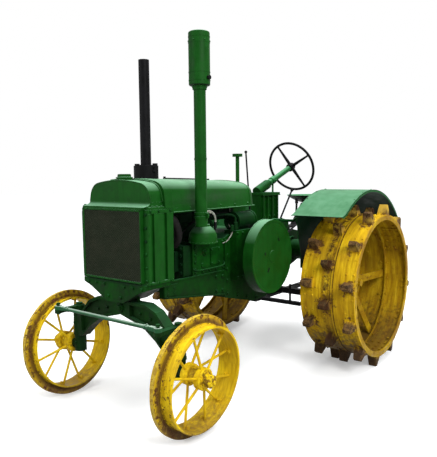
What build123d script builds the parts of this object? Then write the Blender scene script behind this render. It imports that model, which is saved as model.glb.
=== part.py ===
"""Two-cylinder farm tractor on steel wheels, about 1930.

X runs forward, Y to the driver's left, Z up, in millimetres.  The origin is on
the ground on the centre line, midway between the foremost and rearmost points.
Positions along the tractor are written as distances ahead of the rear axle and
placed by ahead().
"""
import os
from math import atan2, cos, hypot, radians, sin, tan

from build123d import *

os.makedirs("parts", exist_ok=True)

# ================================================================ dimensions
wheelbase = 1805.0
seat_gap = 0.3            # between surfaces of different bodies that meet
run_gap = 0.05            # radial clearance of a running fit
air = 12.0                # between a moving piece and its neighbours

# rear wheels: steel rim, bolted extension rim, three rows of spade lugs
rim_r = 550.0
rim_t = 10.0
main_rim_w = 250.0
ext_rim_w = 180.0
ext_flange = 38.0         # inward edge flange of the extension rim
rear_in_y = 550.0         # inboard edge of the main rim
lug_h = 82.0
lug_foot = (74.0, 78.0)   # round the rim, across the rim
lug_tip = (30.0, 56.0)
lugs_per_row = 12
lug_lead = 180.0 / lugs_per_row / 2
rear_hub_r = 88.0
rear_hub_y = (512.0, 742.0)
rear_flange_r = 165.0
rear_axle_r = 38.0
rear_spoke_w, rear_spoke_t = 62.0, 12.0
rear_spokes_per_side = 6

# front wheels: rim with a raised guide ring
front_rim_r = 305.0
front_rim_t = 8.0
front_rim_w = 152.0
guide_r = 358.0
guide_t = 22.0
guide_in = 92.0           # centre of the guide ring, from the outboard edge
camber = 4.0
front_face_y = 664.0      # outboard edge of the rim, at hub height
barrel_r = 46.0
barrel = (-84.0, 66.0)    # ends, from the wheel's middle, outboard positive
front_flange_r = 64.0
front_flanges = (-58.0, 40.0)
cap_r, cap_len = 31.0, 40.0
spindle_r = 20.0
front_spoke_r = 8.0
front_spokes = 12

# steering
kingpin_y = 450.0
kingpin_r = 18.0
sleeve_r = 42.0
sleeve_z = (432.0, 610.0)
knuckle_r = 40.0
arm_t = 24.0
arm_w = 40.0
arm_reach = 170.0
tie_pin_r = 9.0
tie_eye_t = 24.0
tie_bar_r = 12.0
column_slope = 20.5       # below level, running forward
wheel_hub = (-257.0, 1569.0)   # ahead of the rear axle, height
wheel_r = 231.0
wheel_bar_r = 11.0
column_r = 13.0

# rear axle and case
axle_z = 865.0            # cross tubes
axle_tube_r = 78.0
drop_y = (372.0, 488.0)   # faces of a drop box
drop_r = 118.0
case_half_w = 150.0
case_top_z = 1105.0
crank = (838.0, 921.0)    # ahead of the rear axle, height
crank_half_w = 250.0
crank_top_z = 1085.0
crank_front = 1090.0

# frame, radiator, hood
rail_in, rail_out = 206.0, 250.0
rail_top_z = 842.0
axle_top_z = 728.0
beam_d = 76.0
screen_lead = 98.0        # radiator face ahead of the front axle
radiator_d = 238.0
radiator_half_w = 296.0
screen_half_w = 257.0
radiator_z = (858.0, 1303.0)
tank_back = 72.0          # top tank's face behind the radiator face
tank_d = 100.0
tank_half_w = 272.0
tank_top_z = 1476.0
hood_rear = 770.0
hood_half_w = 296.0
hood_lip_z = 1273.0
hood_top_z = 1486.0

# stacks
exhaust_at = 1591.0
exhaust_r = 34.0
exhaust_top_z = 2229.0
collar_r = 79.0
collar_h = 78.0
intake_at, intake_y = 1475.0, 360.0
intake_r = 37.5
can_r = 66.0
can_z = (2044.0, 2366.0)

# crankshaft group and fan
fly_r = 262.0
fly_y = (414.0, 488.0)
pulley_r = 202.0
pulley_y = (306.0, 470.0)
shaft_r = 34.0
fan_at, fan_z = 1590.0, 1074.0
fan_r = 185.0

# fenders, platform, seat
fender_r = 748.0
fender_t = 4.0
fender_y = (492.0, 900.0)
fender_ends = (48.0, 132.0)    # round the wheel, from straight ahead
platform_z = 752.0
seat_at = -585.0
seat_r = 208.0
tail = 800.0              # rearmost point of the drawbar, behind the axle
drawbar_z = 432.0
hitch_r = 14.0

# ------------------------------------------------------------------- derived
lug_tip_r = rim_r + lug_h
rear_hub_z = lug_tip_r * cos(radians(lug_lead)) + lug_tip[0] / 2 * sin(radians(lug_lead))
front_hub_z = (guide_r * cos(radians(camber))
               + (front_rim_w / 2 - guide_in + guide_t / 2) * sin(radians(camber)))
front_hub_y = front_face_y - front_rim_w / 2 * cos(radians(camber))
rear_x = -(wheelbase + guide_r - tail) / 2
front_x = rear_x + wheelbase
rear_out_y = rear_in_y + main_rim_w
screen_x = front_x + screen_lead
radiator_back = wheelbase + screen_lead - radiator_d
tank_face = wheelbase + screen_lead - tank_back
hood_front = tank_face - tank_d
crank_z = crank[1]


def ahead(d):
    """Position along X of a point d ahead of the rear axle."""
    return rear_x + d


def block(x, y, z, mode=Mode.ADD):
    """Box over three ranges; x is ahead of the rear axle."""
    with Locations((ahead((x[0] + x[1]) / 2), (y[0] + y[1]) / 2, (z[0] + z[1]) / 2)):
        Box(x[1] - x[0], y[1] - y[0], z[1] - z[0], mode=mode)


def rod(a, b, r, mode=Mode.ADD):
    """Round bar between two points; their x is ahead of the rear axle."""
    a, b = Vector(ahead(a[0]), a[1], a[2]), Vector(ahead(b[0]), b[1], b[2])
    with Locations(Plane(origin=a, z_dir=b - a)):
        Cylinder(r, (b - a).length, align=(Align.CENTER, Align.CENTER, Align.MIN), mode=mode)


def side_slab(outline, y, mode=Mode.ADD):
    """Plate over the range y; outline in (ahead of the rear axle, height)."""
    face = Face(Wire.make_polygon([Vector(ahead(u), y[0], v) for u, v in outline], close=True))
    extrude(face, amount=y[1] - y[0], dir=(0, 1, 0), mode=mode)


def cross_slab(outline, x, mode=Mode.ADD):
    """Plate over the range x (ahead of the rear axle); outline in (y, height)."""
    face = Face(Wire.make_polygon([Vector(ahead(x[0]), u, v) for u, v in outline], close=True))
    extrude(face, amount=x[1] - x[0], dir=(1, 0, 0), mode=mode)


def both_sides(half):
    """Outline drawn for y >= 0, completed by its mirror image."""
    return list(half) + [(-u, v) for u, v in reversed(half) if u > 0]


def wheel_plane(x, y, z, tilt=0.0):
    """Plane across a left-hand wheel: x forward, normal outboard."""
    return Plane(origin=(x, y, z), x_dir=(1, 0, 0),
                 z_dir=(0, cos(radians(tilt)), -sin(radians(tilt))))


def ring(plane, r_out, r_in, width, mode=Mode.ADD):
    """Hoop standing on a plane."""
    with Locations(plane):
        Cylinder(r_out, width, align=(Align.CENTER, Align.CENTER, Align.MIN), mode=mode)
        if r_in and mode == Mode.ADD:
            Cylinder(r_in, width, align=(Align.CENTER, Align.CENTER, Align.MIN),
                     mode=Mode.SUBTRACT)


def save(part, name):
    part.label = name
    export_step(part, f"parts/{name}.step")


def save_pair(part, name):
    """Left-hand part, and its mirror image for the right-hand side."""
    save(part, f"left_{name}")
    with BuildPart() as other:
        mirror(part, about=Plane.XZ)
    save(other.part, f"right_{name}")


# =============================================================== rear wheels
with BuildPart() as lug:
    with BuildSketch(Plane.YZ.offset(rim_r - rim_t / 2)):
        Rectangle(lug_foot[1], lug_foot[0])
    with BuildSketch(Plane.YZ.offset(lug_tip_r)):
        Rectangle(lug_tip[1], lug_tip[0])
    loft()
# the lug points along X with its width along Y; rows turn it about the axle
with BuildPart() as turned_lug:
    add(lug.part.rotate(Axis.X, 90))

# rows: outboard of the main rim's inner edge, lead over the lowest point
main_rows = ((66.0, -lug_lead), (main_rim_w - 40.0, lug_lead))
ext_rows = ((main_rim_w + 136.0, -lug_lead),)

with BuildPart() as rear_rim:
    ring(wheel_plane(rear_x, rear_in_y, rear_hub_z), rim_r, rim_r - rim_t, main_rim_w)
    for out, lead in main_rows:
        with Locations(wheel_plane(rear_x, rear_in_y + out, rear_hub_z)):
            with PolarLocations(0, lugs_per_row, start_angle=lead):
                add(turned_lug.part)
save_pair(rear_rim.part, "rear_rim")

with BuildPart() as rear_extension:
    ring(wheel_plane(rear_x, rear_out_y, rear_hub_z), rim_r, rim_r - rim_t, ext_rim_w)
    ring(wheel_plane(rear_x, rear_out_y + ext_rim_w - rim_t, rear_hub_z),
         rim_r - rim_t / 2, rim_r - ext_flange, rim_t)
    for out, lead in ext_rows:
        with Locations(wheel_plane(rear_x, rear_in_y + out, rear_hub_z)):
            with PolarLocations(0, lugs_per_row, start_angle=lead):
                add(turned_lug.part)
save_pair(rear_extension.part, "rear_extension_rim")

# sets of spokes: flange y, y where they meet the rim, angle of the first
rear_spoke_sets = ((560.0, rear_in_y + 34.0, 180.0 / rear_spokes_per_side),
                   (704.0, rear_out_y - 34.0, 0.0))
rear_spokes = []
for flange_y, rim_y, first in rear_spoke_sets:
    root = rear_flange_r - 45
    run = rim_r - rim_t + 8 - root
    lean = atan2(rim_y - flange_y, run)
    with BuildPart() as spoke:
        with BuildSketch(Plane(origin=(root, 0, 0), x_dir=(0, 1, 0), z_dir=(cos(lean), 0, sin(lean)))):
            Rectangle(rear_spoke_w, rear_spoke_t)
        extrude(amount=hypot(rim_y - flange_y, run))
    rear_spokes.append(spoke.part)

with BuildPart() as rear_hub:
    ring(wheel_plane(rear_x, rear_hub_y[0], rear_hub_z), rear_hub_r, 0, rear_hub_y[1] - rear_hub_y[0])
    for (flange_y, rim_y, first), spoke in zip(rear_spoke_sets, rear_spokes):
        ring(wheel_plane(rear_x, flange_y - 13, rear_hub_z), rear_flange_r, 0, 26)
        with Locations(wheel_plane(rear_x, flange_y, rear_hub_z)):
            with PolarLocations(0, rear_spokes_per_side, start_angle=first):
                add(spoke)
    with BuildSketch(wheel_plane(rear_x, rear_in_y, rear_hub_z)):
        Circle(rim_r + lug_h)
        Circle(rim_r - rim_t, mode=Mode.SUBTRACT)
    extrude(amount=main_rim_w, mode=Mode.SUBTRACT)
    ring(wheel_plane(rear_x, rear_hub_y[0], rear_hub_z), rear_axle_r + run_gap, 0,
         rear_hub_y[1] - rear_hub_y[0] - 20, mode=Mode.SUBTRACT)
save_pair(rear_hub.part, "rear_wheel_hub")

# ============================================================== front wheels
front_middle = wheel_plane(front_x, front_hub_y, front_hub_z, camber)

with BuildPart() as front_rim:
    ring(front_middle.offset(-front_rim_w / 2), front_rim_r, front_rim_r - front_rim_t, front_rim_w)
    with BuildSketch(front_middle.offset(front_rim_w / 2 - guide_in - guide_t / 2)):
        Circle(guide_r)
        Circle(front_rim_r - front_rim_t / 2, mode=Mode.SUBTRACT)
    extrude(amount=guide_t)
save_pair(front_rim.part, "front_rim")

front_spoke_pair = []
for flange, foot in zip(front_flanges, (-12.0, 8.0)):
    root = front_flange_r - 14
    run = front_rim_r - front_rim_t + 5 - root
    lean = atan2(foot - flange, run)
    with BuildPart() as spoke:
        with BuildSketch(Plane(origin=(root, 0, 0), z_dir=(cos(lean), 0, sin(lean)))):
            Circle(front_spoke_r)
        extrude(amount=hypot(foot - flange, run))
    front_spoke_pair.append(spoke.part)

with BuildPart() as front_hub:
    ring(front_middle.offset(barrel[0]), barrel_r, 0, barrel[1] - barrel[0])
    ring(front_middle.offset(barrel[1]), cap_r, 0, cap_len)
    for k, (flange, spoke) in enumerate(zip(front_flanges, front_spoke_pair)):
        ring(front_middle.offset(flange - 7), front_flange_r, 0, 14)
        with Locations(front_middle.offset(flange)):
            with PolarLocations(0, front_spokes // 2,
                                start_angle=180 / front_spokes * (1 + 2 * k)):
                add(spoke)
    with BuildSketch(front_middle.offset(-front_rim_w / 2)):
        Circle(guide_r)
        Circle(front_rim_r - front_rim_t, mode=Mode.SUBTRACT)
    extrude(amount=front_rim_w, mode=Mode.SUBTRACT)
    ring(front_middle.offset(barrel[0]), spindle_r + run_gap, 0, barrel[1] - barrel[0] - 6,
         mode=Mode.SUBTRACT)
save_pair(front_hub.part, "front_wheel_hub")

# ================================================================== steering
spindle_run = (front_hub_y - kingpin_y) / cos(radians(camber))
with BuildPart() as knuckle:
    # block under the axle sleeve, spindle along the wheel's own axis
    with Locations((front_x, kingpin_y, sleeve_z[0] - seat_gap)):
        Cylinder(knuckle_r, 112, align=(Align.CENTER, Align.CENTER, Align.MAX))
    ring(front_middle.offset(-spindle_run), 36, 0, spindle_run + barrel[0] - 5)
    ring(front_middle.offset(-spindle_run), spindle_r, 0, spindle_run + barrel[1] - 12)
    with Locations((front_x, kingpin_y, sleeve_z[0] - 30)):
        Cylinder(kingpin_r, sleeve_z[1] + arm_t - sleeve_z[0] + 44,
                 align=(Align.CENTER, Align.CENTER, Align.MIN))
    # steering arm on top of the sleeve, with the tie-rod pin at its end
    with BuildSketch(Plane.XY.offset(sleeve_z[1] + seat_gap)):
        with Locations((front_x, kingpin_y)):
            Circle(36)
        with Locations((front_x + arm_reach / 2, kingpin_y)):
            Rectangle(arm_reach, arm_w)
        with Locations((front_x + arm_reach, kingpin_y)):
            Circle(arm_w / 2 + 4)
    extrude(amount=arm_t)
    with Locations((front_x + arm_reach, kingpin_y, sleeve_z[1] + seat_gap + arm_t)):
        Cylinder(tie_pin_r, tie_eye_t + 10, align=(Align.CENTER, Align.CENTER, Align.MIN))
save_pair(knuckle.part, "knuckle")

tie_z = sleeve_z[1] + arm_t + 2 * seat_gap
with BuildPart() as tie_rod:
    with BuildSketch(Plane.XY.offset(tie_z)):
        with Locations((front_x + arm_reach, kingpin_y), (front_x + arm_reach, -kingpin_y)):
            Circle(24)
        with Locations((front_x + arm_reach, kingpin_y - 32), (front_x + arm_reach, -kingpin_y + 32)):
            Rectangle(26, 64)
    extrude(amount=tie_eye_t)
    rod((wheelbase + arm_reach, -kingpin_y + 56, tie_z + tie_eye_t / 2),
        (wheelbase + arm_reach, kingpin_y - 56, tie_z + tie_eye_t / 2), tie_bar_r)
    with Locations((front_x + arm_reach, kingpin_y, tie_z), (front_x + arm_reach, -kingpin_y, tie_z)):
        Cylinder(tie_pin_r + run_gap, tie_eye_t, align=(Align.CENTER, Align.CENTER, Align.MIN),
                 mode=Mode.SUBTRACT)
save(tie_rod.part, "tie_rod")

# ================================================================ front axle
axle_face = both_sides(((0, 640), (190, 590), (296, 520), (kingpin_y - 60, sleeve_z[0]),
                        (kingpin_y, sleeve_z[0]), (kingpin_y, sleeve_z[1] - 7),
                        (kingpin_y - 60, sleeve_z[1] - 7), (304, 692), (215, axle_top_z),
                        (0, axle_top_z)))
pocket = ((80, 636), (192, 608), (304, 534), (kingpin_y - 78, sleeve_z[0] + 26),
          (kingpin_y - 62, sleeve_z[0] + 40), (kingpin_y - 62, sleeve_z[1] - 24),
          (298, 674), (210, axle_top_z - 18), (80, axle_top_z - 18))
with BuildPart() as front_axle:
    cross_slab(axle_face, (wheelbase - beam_d / 2, wheelbase + beam_d / 2))
    for side in (1, -1):
        with Locations((front_x, side * kingpin_y, sleeve_z[0])):
            Cylinder(sleeve_r, sleeve_z[1] - sleeve_z[0], align=(Align.CENTER, Align.CENTER, Align.MIN))
        for x in ((wheelbase + 12, wheelbase + beam_d / 2), (wheelbase - beam_d / 2, wheelbase - 12)):
            cross_slab([(side * u, v) for u, v in pocket], x, mode=Mode.SUBTRACT)
        with Locations((front_x, side * kingpin_y, sleeve_z[0])):
            Cylinder(kingpin_r + run_gap, sleeve_z[1] - sleeve_z[0],
                     align=(Align.CENTER, Align.CENTER, Align.MIN), mode=Mode.SUBTRACT)
    rod((wheelbase - 70, 0, 684), (wheelbase + 60, 0, 684), 21, mode=Mode.SUBTRACT)
save(front_axle.part, "front_axle")

# ======================================================= frame and main case
rail = ((radiator_back + 40, 742), (crank_front, 662), (crank_front, rail_top_z - 10),
        (radiator_back + 40, rail_top_z))
with BuildPart() as front_frame:
    cross_slab(both_sides(((0, axle_top_z), (72, axle_top_z), (215, 806),
                           (radiator_half_w - 14, 830), (radiator_half_w - 14, radiator_z[0]),
                           (0, radiator_z[0]))),
               (radiator_back + 14, wheelbase + screen_lead - 14))
    # pivot ear behind the axle, pin through it and the axle
    cross_slab(((-60, 740), (-60, 684), (-40, 640), (40, 640), (60, 684), (60, 740)),
               (wheelbase - beam_d / 2 - 30, wheelbase - beam_d / 2))
    rod((wheelbase - beam_d / 2 - 44, 0, 684), (wheelbase + beam_d / 2, 0, 684), 21 - run_gap)
    rod((wheelbase + beam_d / 2, 0, 684), (wheelbase + beam_d / 2 + 12, 0, 684), 30)
    for side in (1, -1):
        side_slab(rail, (rail_in, rail_out) if side == 1 else (-rail_out, -rail_in))
save(front_frame.part, "front_frame")

with BuildPart() as main_case:
    side_slab(((crank_front, 640), (720, 548), (560, 560), (500, 700), (500, 1010), (560, crank_top_z),
               (1030, crank_top_z), (crank_front, 1060)), (-crank_half_w, crank_half_w))
    side_slab(((600, 566), (250, 650), (-130, 762), (-170, 800), (-170, 960), (-110, 1010),
               (40, 1040), (48, case_top_z), (330, case_top_z), (350, crank_top_z), (600, crank_top_z)),
              (-case_half_w, case_half_w))
    # crankshaft bearing bosses, bored for the shaft
    rod((crank[0], -crank_half_w - 30, crank_z), (crank[0], crank_half_w + 60, crank_z), 92)
    rod((crank[0], -crank_half_w - 30, crank_z), (crank[0], crank_half_w + 60, crank_z),
        shaft_r + run_gap, mode=Mode.SUBTRACT)
save(main_case.part, "main_case")

with BuildPart() as rear_axle:
    for side in (1, -1):
        rod((0, side * case_half_w, axle_z), (0, side * drop_y[0], axle_z), axle_tube_r)
        rod((0, side * case_half_w, axle_z), (0, side * (case_half_w + 22), axle_z), 104)
        ends = (side * drop_y[0], side * drop_y[1])
        rod((0, ends[0], axle_z), (0, ends[1], axle_z), drop_r)
        rod((0, ends[0], rear_hub_z), (0, ends[1], rear_hub_z), drop_r + 8)
        block((-drop_r + 4, drop_r - 4), sorted(ends), (rear_hub_z, axle_z))
        rod((0, ends[1], rear_hub_z), (0, side * (rear_hub_y[0] - air), rear_hub_z), 70)
        rod((0, ends[1], rear_hub_z), (0, side * (rear_hub_y[1] - 24), rear_hub_z), rear_axle_r)
save(rear_axle.part, "rear_axle_housings")

# ==================================================================== engine
block_back, block_front = crank_front, 1432.0
with BuildPart() as cylinder_block:
    block((block_back, block_front), (-rail_out + 2, rail_out - 2), (rail_top_z, 1062))
    block((block_back, block_front), (-rail_in, rail_in), (700, rail_top_z))
    # head and tappet cover at the front
    block((block_front, 1506), (-232, 232), (rail_top_z + 8, 1046))
    block((1506, 1540), (-190, 190), (rail_top_z + 40, 1010))
save(cylinder_block.part, "cylinder_block")

with BuildPart() as manifold:
    block((1100, 1400), (-120, 150), (1062, 1180))
    block((820, 1550), (-130, 130), (1180, hood_lip_z))
    block((560, 640), (-40, 60), (crank_top_z, 1240))
    block((560, 860), (-40, 60), (1180, hood_lip_z))
save(manifold.part, "manifold")

with BuildPart() as governor_case:
    block((815, 1025), (crank_half_w, 306), (760, 1102))
    rod((crank[0], crank_half_w - 1, crank_z), (crank[0], 320, crank_z), 92, mode=Mode.SUBTRACT)
    block((815, 1025), (200, 306), (crank_top_z, 1110))
    rod((750, 228, 1168), (960, 228, 1168), 66)
    block((820, 940), (190, 266), (1105, 1150))
save(governor_case.part, "governor_case")

cleaner_at, cleaner_y, cleaner_r = 1372.0, 286.0, 94.0
with BuildPart() as air_cleaner:
    rod((cleaner_at, cleaner_y, 1062), (cleaner_at, cleaner_y, 1116), cleaner_r)
    with BuildSketch(Plane.XY.offset(1116)):
        with Locations((ahead(cleaner_at), cleaner_y)):
            Circle(cleaner_r)
    with BuildSketch(Plane.XY.offset(1180)):
        with Locations((ahead(cleaner_at), cleaner_y)):
            Circle(cleaner_r * 0.45)
    loft()
save(air_cleaner.part, "air_cleaner")

with BuildPart() as intake_pipe:
    rod((intake_at, intake_y, 1180), (intake_at, intake_y, can_z[0]), intake_r)
    rod((intake_at, intake_y, 1212), (cleaner_at, cleaner_y, 1212), 30)
    rod((cleaner_at, cleaner_y, 1180), (cleaner_at, cleaner_y, 1246), 34)
save(intake_pipe.part, "intake_pipe")

with BuildPart() as precleaner:
    rod((intake_at, intake_y, can_z[0]), (intake_at, intake_y, can_z[1]), can_r)
    fillet(precleaner.edges().filter_by(GeomType.CIRCLE), 10)
save(precleaner.part, "precleaner")

# ================================================================== radiator
with BuildPart() as radiator:
    block((radiator_back, wheelbase + screen_lead), (-radiator_half_w, radiator_half_w), radiator_z)
    block((wheelbase + screen_lead - 20, wheelbase + screen_lead), (-screen_half_w, screen_half_w),
          (radiator_z[0] + 10, radiator_z[1] - 14), mode=Mode.SUBTRACT)
    for side in (1, -1):
        for x in (70.0, 178.0):
            block((radiator_back + x - 14, radiator_back + x + 14),
                  sorted((side * (radiator_half_w - 16), side * (radiator_half_w + 1))),
                  (radiator_z[0] + 16, radiator_z[1] - 26), mode=Mode.SUBTRACT)
save(radiator.part, "radiator")

with BuildPart() as screen:
    block((wheelbase + screen_lead - 20, wheelbase + screen_lead - 6),
          (-screen_half_w, screen_half_w), (radiator_z[0] + 10, radiator_z[1] - 14))
save(screen.part, "radiator_screen")


def crown(x, half_w, low, shoulder, top):
    """Hood section at x: near-flat sides, rounded shoulders, crowned top."""
    at = ahead(x)
    foot, neck = Vector(at, half_w, low), Vector(at, half_w - 10, shoulder)
    edge = Vector(at, half_w - 92, top - 16)
    bend = Vector(at, half_w - 38, shoulder + 0.66 * (top - 16 - shoulder))

    def flip(v):
        return Vector(v.X, -v.Y, v.Z)

    return Face(Wire([
        Edge.make_line(flip(foot), foot), Edge.make_line(foot, neck),
        Edge.make_three_point_arc(neck, bend, edge),
        Edge.make_three_point_arc(edge, Vector(at, 0, top), flip(edge)),
        Edge.make_three_point_arc(flip(edge), flip(bend), flip(neck)),
        Edge.make_line(flip(neck), flip(foot))]))


with BuildPart() as hood:
    loft([crown(hood_rear, hood_half_w - 6, hood_lip_z, 1386, hood_top_z - 28),
          crown(hood_front, hood_half_w, hood_lip_z, 1404, hood_top_z)])
    block((radiator_back, hood_front), (-radiator_half_w, radiator_half_w), (hood_lip_z, radiator_z[1]),
          mode=Mode.SUBTRACT)
save(hood.part, "hood")

with BuildPart() as top_tank:
    block((hood_front, tank_face + 40), (-radiator_half_w + 8, radiator_half_w - 8),
          (radiator_z[1], radiator_z[1] + 14))
    extrude(crown(hood_front, tank_half_w, radiator_z[1] + 14, 1392, tank_top_z),
            amount=tank_d, dir=(1, 0, 0))
    rod((tank_face - 50, 0, tank_top_z - 20), (tank_face - 50, 0, tank_top_z + 16), 48)
    rod((tank_face - 50, 0, tank_top_z + 16), (tank_face - 50, 0, tank_top_z + 36), 36)
save(top_tank.part, "radiator_top_tank")

with BuildPart() as exhaust:
    rod((exhaust_at, 0, hood_top_z - 40), (exhaust_at, 0, hood_top_z + collar_h), collar_r)
    rod((exhaust_at, 0, hood_top_z), (exhaust_at, 0, exhaust_top_z), exhaust_r)
    rod((exhaust_at, 0, exhaust_top_z - 60), (exhaust_at, 0, exhaust_top_z), exhaust_r - 4,
        mode=Mode.SUBTRACT)
    for side in (1, -1):
        block((exhaust_at - 13, exhaust_at + 13),
              sorted((side * (collar_r - 8), side * (collar_r + 12))),
              (hood_top_z + 34, hood_top_z + 92))
    add(hood.part, mode=Mode.SUBTRACT)
save(exhaust.part, "exhaust_stack")

with BuildPart() as breather:
    rod((790, 150, hood_top_z - 60), (790, 150, 1655), 14)
    rod((790, 150, 1633), (790, 150, 1655), 37)
    add(hood.part, mode=Mode.SUBTRACT)
save(breather.part, "breather_pipe")

# ========================================================= crankshaft and fan
with BuildPart() as flywheel:
    rod((crank[0], fly_y[0], crank_z), (crank[0], fly_y[1], crank_z), fly_r)
    rod((crank[0], fly_y[0], crank_z), (crank[0], fly_y[1], crank_z), shaft_r, mode=Mode.SUBTRACT)
save(flywheel.part, "flywheel")

with BuildPart() as crankshaft:
    rod((crank[0], -pulley_y[1] - 10, crank_z), (crank[0], fly_y[1], crank_z), shaft_r)
save(crankshaft.part, "crankshaft")

with BuildPart() as pulley:
    rod((crank[0], -pulley_y[1], crank_z), (crank[0], -pulley_y[0], crank_z), pulley_r)
    rod((crank[0], -pulley_y[1], crank_z), (crank[0], -pulley_y[1] + 40, crank_z), pulley_r - 14,
        mode=Mode.SUBTRACT)
    rod((crank[0], -pulley_y[1], crank_z), (crank[0], -pulley_y[1] + 40, crank_z), 70)
    rod((crank[0], -pulley_y[1], crank_z), (crank[0], -pulley_y[0], crank_z), shaft_r,
        mode=Mode.SUBTRACT)
save(pulley.part, "belt_pulley")

fan_shaft_r = 12.0
with BuildPart() as fan_bracket:
    block((1440, 1500), (-30, 30), (1046, fan_z))
    rod((1440, 0, fan_z), (1556, 0, fan_z), 26)
    rod((1450, 0, fan_z), (1556, 0, fan_z), fan_shaft_r + run_gap, mode=Mode.SUBTRACT)
save(fan_bracket.part, "fan_bracket")

with BuildPart() as blade:
    with Locations(Location((30 + (fan_r - 30) / 2, 0, 0), (28, 0, 0))):
        Box(fan_r - 30, 84, 5)
with BuildPart() as fan:
    rod((1460, 0, fan_z), (fan_at, 0, fan_z), fan_shaft_r)
    rod((fan_at - 26, 0, fan_z), (fan_at + 22, 0, fan_z), 44)
    with Locations(Plane(origin=(ahead(fan_at), 0, fan_z), x_dir=(0, 0, 1), z_dir=(1, 0, 0))):
        with PolarLocations(0, 4, start_angle=20):
            add(blade.part)
save(fan.part, "fan")

# ================================================= steering wheel and column
column_run = tan(radians(column_slope))


def column_z(d):
    """Height of the steering shaft d ahead of the rear axle."""
    return wheel_hub[1] - (d - wheel_hub[0]) * column_run


def on_column(d):
    return d, 0, column_z(d)


with BuildPart() as gear_case:
    block((48, 340), (-112, 112), (case_top_z, case_top_z + 16))
    block((72, 330), (-58, 58), (case_top_z, 1350))
    for x in (86, 160, 234, 300):
        block((x, x + 20), (-74, 74), (case_top_z, 1330))
    block((72, 336), (-80, 80), (1330, 1350))
    rod(on_column(150), on_column(310), 40)
    rod(on_column(149), on_column(290), column_r + run_gap, mode=Mode.SUBTRACT)
save(gear_case.part, "steering_gear_case")

with BuildPart() as column_post:
    rod((60, 0, case_top_z + 16), (60, 0, column_z(60) - 16), 8)
    rod(on_column(40), on_column(80), 24)
    rod(on_column(39), on_column(81), column_r + run_gap, mode=Mode.SUBTRACT)
save(column_post.part, "steering_column_post")

wheel_face = Plane(origin=(ahead(wheel_hub[0]), 0, wheel_hub[1]), x_dir=(0, 1, 0),
                   z_dir=(cos(radians(column_slope)), 0, -sin(radians(column_slope))))
with BuildPart() as wheel_spoke:
    with Locations(Plane(origin=(0, 0, 0), z_dir=(1, 0, 0))):
        Cylinder(9, wheel_r - wheel_bar_r, align=(Align.CENTER, Align.CENTER, Align.MIN))
with BuildPart() as steering_wheel:
    rod(on_column(wheel_hub[0]), on_column(284), column_r)
    rod(on_column(wheel_hub[0] - 16), on_column(wheel_hub[0] + 40), 32)
    with Locations(wheel_face):
        Torus(wheel_r - wheel_bar_r, wheel_bar_r)
        with PolarLocations(0, 4, start_angle=28):
            add(wheel_spoke.part)
save(steering_wheel.part, "steering_wheel")

with BuildPart() as gear_lever:
    rod((0, 0, 1020), (0, 0, 1052), 38)
    rod((-8, 0, 1034), (-270, 0, 1356), 8)
    with Locations((ahead(-270), 0, 1356)):
        Sphere(15)
    add(main_case.part, mode=Mode.SUBTRACT)
save(gear_lever.part, "gear_lever")

with BuildPart() as throttle_rod:
    rod((672, 190, crank_top_z), (738, 190, 1668), 6)
    rod((672, 190, crank_top_z), (676, 190, crank_top_z + 24), 14)
    with Locations((ahead(738), 190, 1668)):
        Sphere(11)
    add(main_case.part, mode=Mode.SUBTRACT)
save(throttle_rod.part, "throttle_rod")

# ============================================================ seat, platform
seat_z = 1225.0
seat_depth = 78.0
seat_ball = (seat_r ** 2 + seat_depth ** 2) / (2 * seat_depth)
with BuildPart() as seat:
    with Locations((ahead(seat_at), 0, seat_z + seat_ball)):
        Sphere(seat_ball)
        Sphere(seat_ball - 5, mode=Mode.SUBTRACT)
    block((seat_at - 400, seat_at + 400), (-400, 400), (seat_z + seat_depth, seat_z + 3 * seat_ball),
          mode=Mode.SUBTRACT)
save(seat.part, "seat")

with BuildPart() as seat_spring:
    side_slab(((-50, 1022), (-110, 1010), (-300, 1028), (-430, 1140), (seat_at + 85, seat_z - 12),
               (seat_at - 55, seat_z - 12), (seat_at - 55, seat_z + 4), (seat_at + 90, seat_z + 4),
               (-423, 1154), (-296, 1042), (-110, 1024), (-50, 1036)), (-32, 32))
    add(seat.part, mode=Mode.SUBTRACT)
    add(main_case.part, mode=Mode.SUBTRACT)
save(seat_spring.part, "seat_spring")

with BuildPart() as platform:
    block((-640, -140), (-302, 302), (platform_z, platform_z + 6))
    for side in (1, -1):
        y = sorted((side * 290, side * 302))
        block((-640, 90), y, (platform_z - 36, platform_z))
        side_slab(((-90, platform_z - 4), (90, platform_z - 4), (90, axle_z + 60), (50, axle_z + 96),
                   (-50, axle_z + 96), (-90, axle_z + 60)), y)
    add(rear_axle.part, mode=Mode.SUBTRACT)
save(platform.part, "platform")


def on_arc(r, turn, y):
    return Vector(rear_x + r * cos(radians(turn)), y, rear_hub_z + r * sin(radians(turn)))


def fender_band(r_in, y0, y1):
    """Curved strip over the wheel, fender_ends round the axle."""
    a, b = fender_ends
    r_out, mid = fender_r, (a + b) / 2
    face = Face(Wire([
        Edge.make_three_point_arc(on_arc(r_out, a, y0), on_arc(r_out, mid, y0), on_arc(r_out, b, y0)),
        Edge.make_line(on_arc(r_out, b, y0), on_arc(r_in, b, y0)),
        Edge.make_three_point_arc(on_arc(r_in, b, y0), on_arc(r_in, mid, y0), on_arc(r_in, a, y0)),
        Edge.make_line(on_arc(r_in, a, y0), on_arc(r_out, a, y0))]))
    extrude(face, amount=y1 - y0, dir=(0, 1, 0))


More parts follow.
